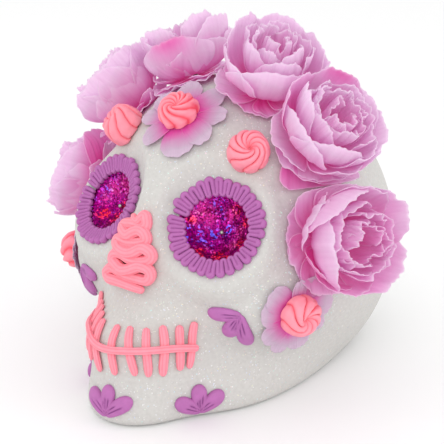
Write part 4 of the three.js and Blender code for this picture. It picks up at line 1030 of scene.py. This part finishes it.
# Each row is one petal: the way it faces, how far out and how high its tip lies, bend, half width, cup, ruffle
# and tuck, then skew and how pale its edge is where they aren't 0 and 1. A negative paleness lays painted shade
# at the middle of the tip.
HEART = (
    (0, 20, 38, 74, 14, 46, 2.2, 0), (62, 18, 41, 68, 13, 50, 2.4, 0, 4, 1), (118, 20, 38, 74, 14, 46, 2.2, 0),
    (175, 18, 41, 68, 14, 48, 2.4, 0, -4, 1), (238, 20, 39, 74, 13, 46, 2.2, 0),
    (300, 18, 41, 70, 14, 50, 2.4, 0, 3, 1), (30, 12, 41, 54, 11, 56, 2.8, 10, 3, 0.9),
    (105, 11, 43, 48, 11, 58, 2.8, 10, -3, 0.95), (200, 12, 41, 54, 11, 56, 2.8, 10, 3, 0.9),
    (280, 11, 42, 48, 11, 56, 2.8, 10, -3, 0.95), (60, 5, 41, 26, 9, 70, 2.8, 15, 0, 0.85),
    (180, 5, 42, 26, 9, 70, 2.8, 15, 0, 0.85), (310, 5, 40, 26, 9, 70, 2.8, 15, 0, 0.85),
)


def lowered(rows, by):
    """The same petals with their tips lower."""
    return tuple((*row[:2], row[2] - by, *row[3:]) for row in rows)


PETALS = {
    "left_crown": (
        ((10, 31, 7, 34, 18, 14, 1.4, -10, 0, 0.8), (82, 32, 6, 34, 19, 16, 1.6, -10, 0, 0.8),
         (152, 31, 4, 30, 18, 12, 1.5, -10, 0, 0.7), (232, 26, 1, 28, 18, 10, 1.2, -10, 0, 0.5),
         (300, 29, 6, 34, 17, 14, 1.2, -10, 0, 0.7), (-90, 25, 2, 28, 18, 10, 1.2, -6, 0, 0.5)),
        ((163, 29, 28, 92, 26, 42, 1.2, -6), (112, 26, 42, 86, 20, 38, 1.4, -8),
         (52, 27, 41, 82, 22, 38, 1.8, -10), (-4, 28, 37, 88, 22, 42, 1.4, -4, 0, 0.95),
         (-34, 32, 31, 86, 24, 40, 1.2, 0, 0, 0.95), (-112, 24, 31, 114, 33, 54, 0.8, 6)),
        ((176, 18, 38, 70, 12, 48, 1.8, 0), (-62, 13, 39, 66, 17, 46, 1.6, 8),
         (-150, 12, 37, 58, 10, 56, 2.2, 10, 0, 0.95), (120, 18, 40, 68, 14, 46, 2.2, 0),
         (60, 19, 40, 68, 15, 46, 2.4, 0), (5, 19, 38, 72, 15, 46, 2.2, 0), (-35, 21, 36, 76, 15, 44, 2.0, 0),
         (-108, 19, 35, 78, 16, 46, 1.8, 0), (90, 10, 43, 44, 11, 58, 2.8, 10, 0, 0.95),
         (20, 9, 41, 44, 11, 58, 2.8, 10, 0, 0.9), (-170, 6, 41, 34, 9, 66, 2.8, 10, 0, 0.85),
         (-40, 5, 41, 26, 9, 70, 2.8, 10, 0, 0.85), (140, 12, 42, 52, 10, 54, 2.6, 8, 0, 0.9)),
    ),
    "left_temple": (
        ((175, 30, 8, 48, 21, 24, 1.8, -30), (-134, 29, 4, 40, 20, 20, 1.4, -6, 0, 0.8),
         (-95, 30, 5, 50, 22, 22, 1.2, 0, 0, 0.7), (-112, 43, -4, 10, 22, 8, 1.4, 0, 0, 0.42),
         (-70, 38, 2, 20, 20, 10, 1.6, -6, 0, 0.7), (-35, 33, 8, 34, 20, 14, 1.8, -10, 0, 0.9),
         (25, 33, 7, 34, 19, 14, 1.6, -10, 0, 0.9), (90, 33, 7, 34, 19, 14, 1.6, -10, 0, 0.9)),
        ((188, 26, 32, 100, 24, 44, 0.6, 0), (-118, 22, 35, 112, 26, 48, 0.8, 4),
         (160, 21, 41, 76, 15, 40, 0.8, 0, -7, 1), (116, 31, 36, 88, 21, 36, 1.0, -12, 0, 0.7),
         # the petal at 56 has painted shade at the middle of its tip
         (56, 29, 38, 86, 24, 42, 1.3, -4, 0, -0.8), (-30, 34, 33, 84, 25, 42, 2.0, -14),
         (-62, 29, 33, 88, 17, 38, 1.4, 0), (-80, 32, 22, 84, 24, 38, 1.8, -10),
         (10, 31, 34, 86, 21, 38, 1.8, -8)),
        ((116, 15, 41, 62, 12, 44, 1.8, 0), (98, 19, 38, 68, 14, 44, 1.8, 0),
         (-166, 16, 38, 68, 14, 46, 1.6, 0, 0, 0.95), (150, 15, 38, 62, 11, 48, 1.8, 0),
         (62, 11, 43, 54, 12, 50, 2.0, 6), (-10, 19, 40, 70, 15, 50, 2.2, 0, 0, 0.95),
         (-100, 13, 38, 60, 12, 54, 3.0, 8, 0, 0.95), (-45, 22, 37, 76, 15, 46, 2.2, 0),
         (30, 21, 38, 74, 16, 48, 2.2, 0), (-140, 9, 40, 46, 11, 58, 3.0, 8, 0, 0.9),
         (-70, 8, 40, 40, 10, 62, 3.0, 8, 0, 0.85), (100, 5, 41, 26, 9, 66, 2.8, 8, 0, 0.85),
         (0, 10, 41, 48, 11, 58, 2.8, 8, 0, 0.9), (-30, 14, 40, 60, 12, 54, 2.8, 6, 0, 0.95)),
    ),
    "left_ear": (
        ((152, 30, 1, 20, 20, 12, 1.6, -10, 0, 0.6), (62, 36, 14, 52, 20, 18, 1.6, -10),
         (98, 35, 6, 36, 20, 16, 1.6, -10, 0, 0.8), (-150, 30, 2, 24, 19, 12, 1.6, -10, 0, 0.6),
         (20, 33, 9, 34, 17, 14, 1.6, -10, 0, 0.9), (-52, 33, 9, 34, 17, 14, 1.6, -10, 0, 0.9),
         (-105, 33, 5, 34, 20, 14, 1.6, -10, 0, 0.7)),
        ((108, 25, 40, 116, 26, 44, 0.8, 8), (178, 23, 37, 106, 29, 58, 0.9, 8),
         (138, 30, 25, 96, 19, 34, 1.2, 8), (22, 34, 39, 80, 22, 36, 2.2, -14),
         (-44, 34, 36, 82, 22, 38, 2.4, -12), (-94, 31, 26, 84, 21, 36, 1.3, -10, 0, 0.7),
         (-128, 27, 24, 98, 22, 40, 1.0, 0, 0, 0.5), (64, 30, 38, 86, 20, 36, 1.5, -6)),
        ((96, 20, 38, 80, 17, 46, 1.4, 0), (155, 20, 38, 80, 16, 46, 1.8, 0),
         (-112, 13, 37, 64, 15, 54, 1.4, 6), (-108, 18, 34, 74, 18, 50, 1.2, 6, 0, 0.95),
         (5, 18, 40, 66, 17, 50, 1.8, 0, 0, 0.9), (62, 15, 41, 62, 14, 50, 2.4, 0, 0, 0.95),
         (150, 9, 42, 48, 11, 50, 3.2, 8), (-30, 21, 38, 74, 15, 48, 2.2, 0),
         (-70, 20, 37, 74, 15, 48, 2.2, 0, 0, 0.95), (-160, 15, 37, 68, 13, 50, 2.0, 0, 0, 0.9),
         (110, 10, 41, 50, 11, 54, 2.8, 8, 0, 0.95), (-50, 10, 39, 48, 11, 58, 2.8, 8, 0, 0.85),
         (30, 7, 41, 36, 10, 62, 2.8, 8, 0, 0.85), (0, 12, 41, 54, 11, 56, 2.8, 6, 0, 0.9)),
    ),
    "right_crown": (
        ((-50, 36, -4, 14, 19, 10, 1.2, -10, 0, 0.5), (-12, 35, -3, 16, 20, 12, 1.2, -16, 0, 0.8),
         (30, 35, -2, 20, 21, 14, 1.2, -16, 0, 0.8), (72, 34, 1, 26, 19, 14, 1.6, -10, 0, 0.7),
         (120, 33, 5, 34, 18, 14, 1.6, -10, 0, 0.9), (170, 32, 6, 34, 18, 14, 1.6, -10, 0, 0.9),
         (215, 32, 7, 34, 18, 14, 1.6, -10, 0, 0.9), (285, 33, 7, 34, 18, 16, 1.6, -10, 0, 0.9)),
        # the petal at 14 has painted shade at the middle of its tip
        ((14, 27, 29, 122, 27, 46, 0.7, 4, 0, -0.85), (60, 28, 22, 104, 23, 40, 0.8, -4, 0, 0.9),
         (-50, 26, 36, 90, 21, 42, 1.8, -6), (-14, 22, 38, 88, 19, 42, 2.0, -6),
         (100, 28, 35, 92, 26, 44, 1.0, -4), (72, 21, 39, 86, 17, 42, 1.8, -4),
         (160, 28, 29, 88, 22, 42, 1.6, -6), (215, 28, 29, 88, 22, 42, 1.6, -6),
         (262, 27, 30, 88, 22, 42, 1.6, -6), (128, 30, 25, 84, 18, 34, 1.2, -6, 0, 0.95),
         (-34, 28, 18, 96, 20, 36, 1.0, 0, 0, 0.8)),
        lowered(HEART, 5),
    ),
    "right_temple": (
        ((-62, 33, 8, 30, 17, 16, 1.2, -8, 0, 0.5), (-10, 35, -3, 16, 20, 12, 1.2, -14, 0, 0.45),
         (35, 35, -3, 16, 20, 12, 1.4, -14, 0, 0.45), (82, 34, 2, 30, 20, 16, 1.6, -10, 0, 0.6),
         (150, 33, 7, 34, 20, 14, 1.6, -10, 0, 0.9), (220, 33, 7, 34, 20, 14, 1.6, -10, 0, 0.9)),
        ((-50, 28, 35, 86, 24, 40, 2.0, -10), (0, 29, 36, 88, 26, 42, 1.6, -8),
         (50, 29, 37, 86, 24, 40, 1.6, -8), (100, 30, 35, 86, 24, 40, 1.6, -8),
         (152, 28, 37, 86, 22, 42, 1.6, -6), (205, 28, 37, 86, 22, 42, 1.6, -6),
         (258, 27, 35, 86, 22, 42, 1.6, -6), (25, 27, 26, 100, 24, 40, 1.0, -6, 0, 0.85)),
        HEART,
    ),
    "right_ear": (
        ((10, 33, 3, 30, 20, 14, 1.6, -10, 0, 0.5), (84, 43, 19, 24, 18, 10, 0.9, -6, 0, 0.36),
         (110, 33, 6, 30, 20, 12, 1.7, -10, 0, 0.8), (165, 32, 6, 34, 20, 16, 1.5, -10, 0, 0.8),
         (226, 32, 7, 34, 20, 16, 1.5, -10, 0, 0.8), (298, 28, 6, 32, 19, 14, 1.8, -10, 0, 0.8)),
        ((-40, 27, 31, 90, 25, 42, 1.8, -6), (14, 27, 30, 90, 26, 42, 1.6, -8),
         (68, 24, 29, 88, 23, 40, 1.6, -8), (120, 22, 31, 86, 22, 42, 1.6, -6),
         (172, 28, 35, 86, 22, 42, 1.6, -6), (222, 28, 34, 86, 22, 42, 1.6, -6),
         (272, 31, 31, 86, 24, 42, 1.6, -6), (-12, 26, 23, 96, 22, 40, 1.0, -6, 0, 0.9)),
        lowered(HEART, 5),
    ),
}
PEONY_LAYERS = (
    # layer, root as (out, up), the flat size of the cloth that a petal is cut from in metres, paleness
    ("guard", (2.5, 1.9), (0.036, 0.036), 1.3), ("cup", (2.5, 3.6), (0.042, 0.042), 1.12),
    ("heart", (3.5, 6.0), (0.032, 0.036), 1.05),
)
# how much paler than the others a flower's dye is
PALER = {"right_temple": 1.15, "right_ear": 1.12, "left_temple": 0.95, "left_ear": 0.8}
PEONY_SILK = petal_cloth(
    "peony_silk", deep=(0.82, 0.15, 0.53), middle=(0.82, 0.5, 0.73), pale=(0.825, 0.7, 0.82), through=0.5,
    veins=14.0, glow=(1.0, 0.55, 0.82), glow_strength=0.19, edge=0.5)
for number, (name, local) in enumerate(PEONIES.items()):
    for (layer, root, cut, paler), rows in zip(PEONY_LAYERS, PETALS[name]):
        paler, made = paler * PALER.get(name, 1), []
        for n, row in enumerate(rows):
            *shape, pale = (*row, 0, 1)[:10]
            grid, along = silk_petal(*shape, pale * paler, root, seed=1000 * number + 100 * len(layer) + n)
            made.append((kept_off(spot(local, *np.moveaxis(grid, -1, 0)), local), along))
        silk, grids = petals(f"silk_{name}_{layer}", PEONY_SILK, "peony_silk",
                             f"peony_{name}_{layer}_petals", made, SILK_THICK)


# The peonies' wired stems are moulded green plastic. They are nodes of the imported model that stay
# as the frame has them, and only their finish is set here.
def stem_plastic():
    """Moulded plastic, with slight streaks along the stem."""
    paint, tree, shader = new_paint("stem_plastic", Roughness=0.5)
    green = ramp(tree, noise(tree, 300.0, 3.0), (0.3, (0.07, 0.19, 0.05)), (0.7, (0.13, 0.3, 0.09)))
    feed(tree, shader, Base_Color=green)
    return paint


STEM = stem_plastic()
for name in PEONIES:
    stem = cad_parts[f"peony_{name}_stem"]
    stem.data.materials.clear()
    stem.data.materials.append(STEM)


# The studio: a pale floor that runs out to white, an even white surround, one wide soft light
# in front of the face, weaker ones at each side, and the camera at the photograph's angle.
CAMERA_TURN, CAMERA_RISE, CAMERA_AWAY, CAMERA_LENS = 36.0, 20.5, 0.65, 85.0
LOOK_AT = Vector((0.007, 0.005, 0.095))
FLOOR_REACH, SURROUND, LAMP_WIDTH = 6, 1.05, 1.0
LIGHTS = {"key": ((0.7, -1.3, 1.0), 4.9), "fill": ((-1.2, -1.0, 0.8), 2), "side": ((1.3, 0.35, 0.45), 2.3)}

turn, rise = np.radians(CAMERA_TURN), np.radians(CAMERA_RISE)
looking = Vector((-np.sin(turn) * np.cos(rise), np.cos(turn) * np.cos(rise), -np.sin(rise)))
lens = bpy.data.cameras.new("camera")
lens.lens, lens.sensor_width, lens.clip_start, lens.clip_end = CAMERA_LENS, 36.0, 0.01, 50
camera = bpy.data.objects.new("camera", lens)
camera.location = LOOK_AT - looking * CAMERA_AWAY
camera.rotation_euler = looking.to_track_quat("-Z", "Y").to_euler()
bpy.context.scene.collection.objects.link(camera)
bpy.context.scene.camera = camera

floor = bpy.data.objects.new("floor", bpy.data.meshes.new("floor"))
corners = ((-1, -1), (1, -1), (1, 1), (-1, 1))
floor.data.from_pydata([(x * FLOOR_REACH, y * FLOOR_REACH, 0) for x, y in corners], [], [(0, 1, 2, 3)])
floor_paint = new_paint("pale_floor", Base_Color=(0.92, 0.92, 0.92, 1), Roughness=0.9,
                        Specular_IOR_Level=0.1)[0]
floor.data.materials.append(floor_paint)
bpy.context.scene.collection.objects.link(floor)

for name, (place, power) in LIGHTS.items():
    lamp = bpy.data.lights.new(name, "AREA")
    lamp.shape, lamp.size, lamp.energy = "DISK", LAMP_WIDTH, power
    light = bpy.data.objects.new(name, lamp)
    light.location = place
    light.rotation_euler = (LOOK_AT - Vector(place)).to_track_quat("-Z", "Y").to_euler()
    bpy.context.scene.collection.objects.link(light)
world = bpy.data.worlds.new("studio")
world.use_nodes = True
around = world.node_tree.nodes["Background"].inputs
around["Color"].default_value, around["Strength"].default_value = (1, 1, 1, 1), SURROUND
bpy.context.scene.world = world
bpy.context.scene.view_settings.view_transform = "Standard"
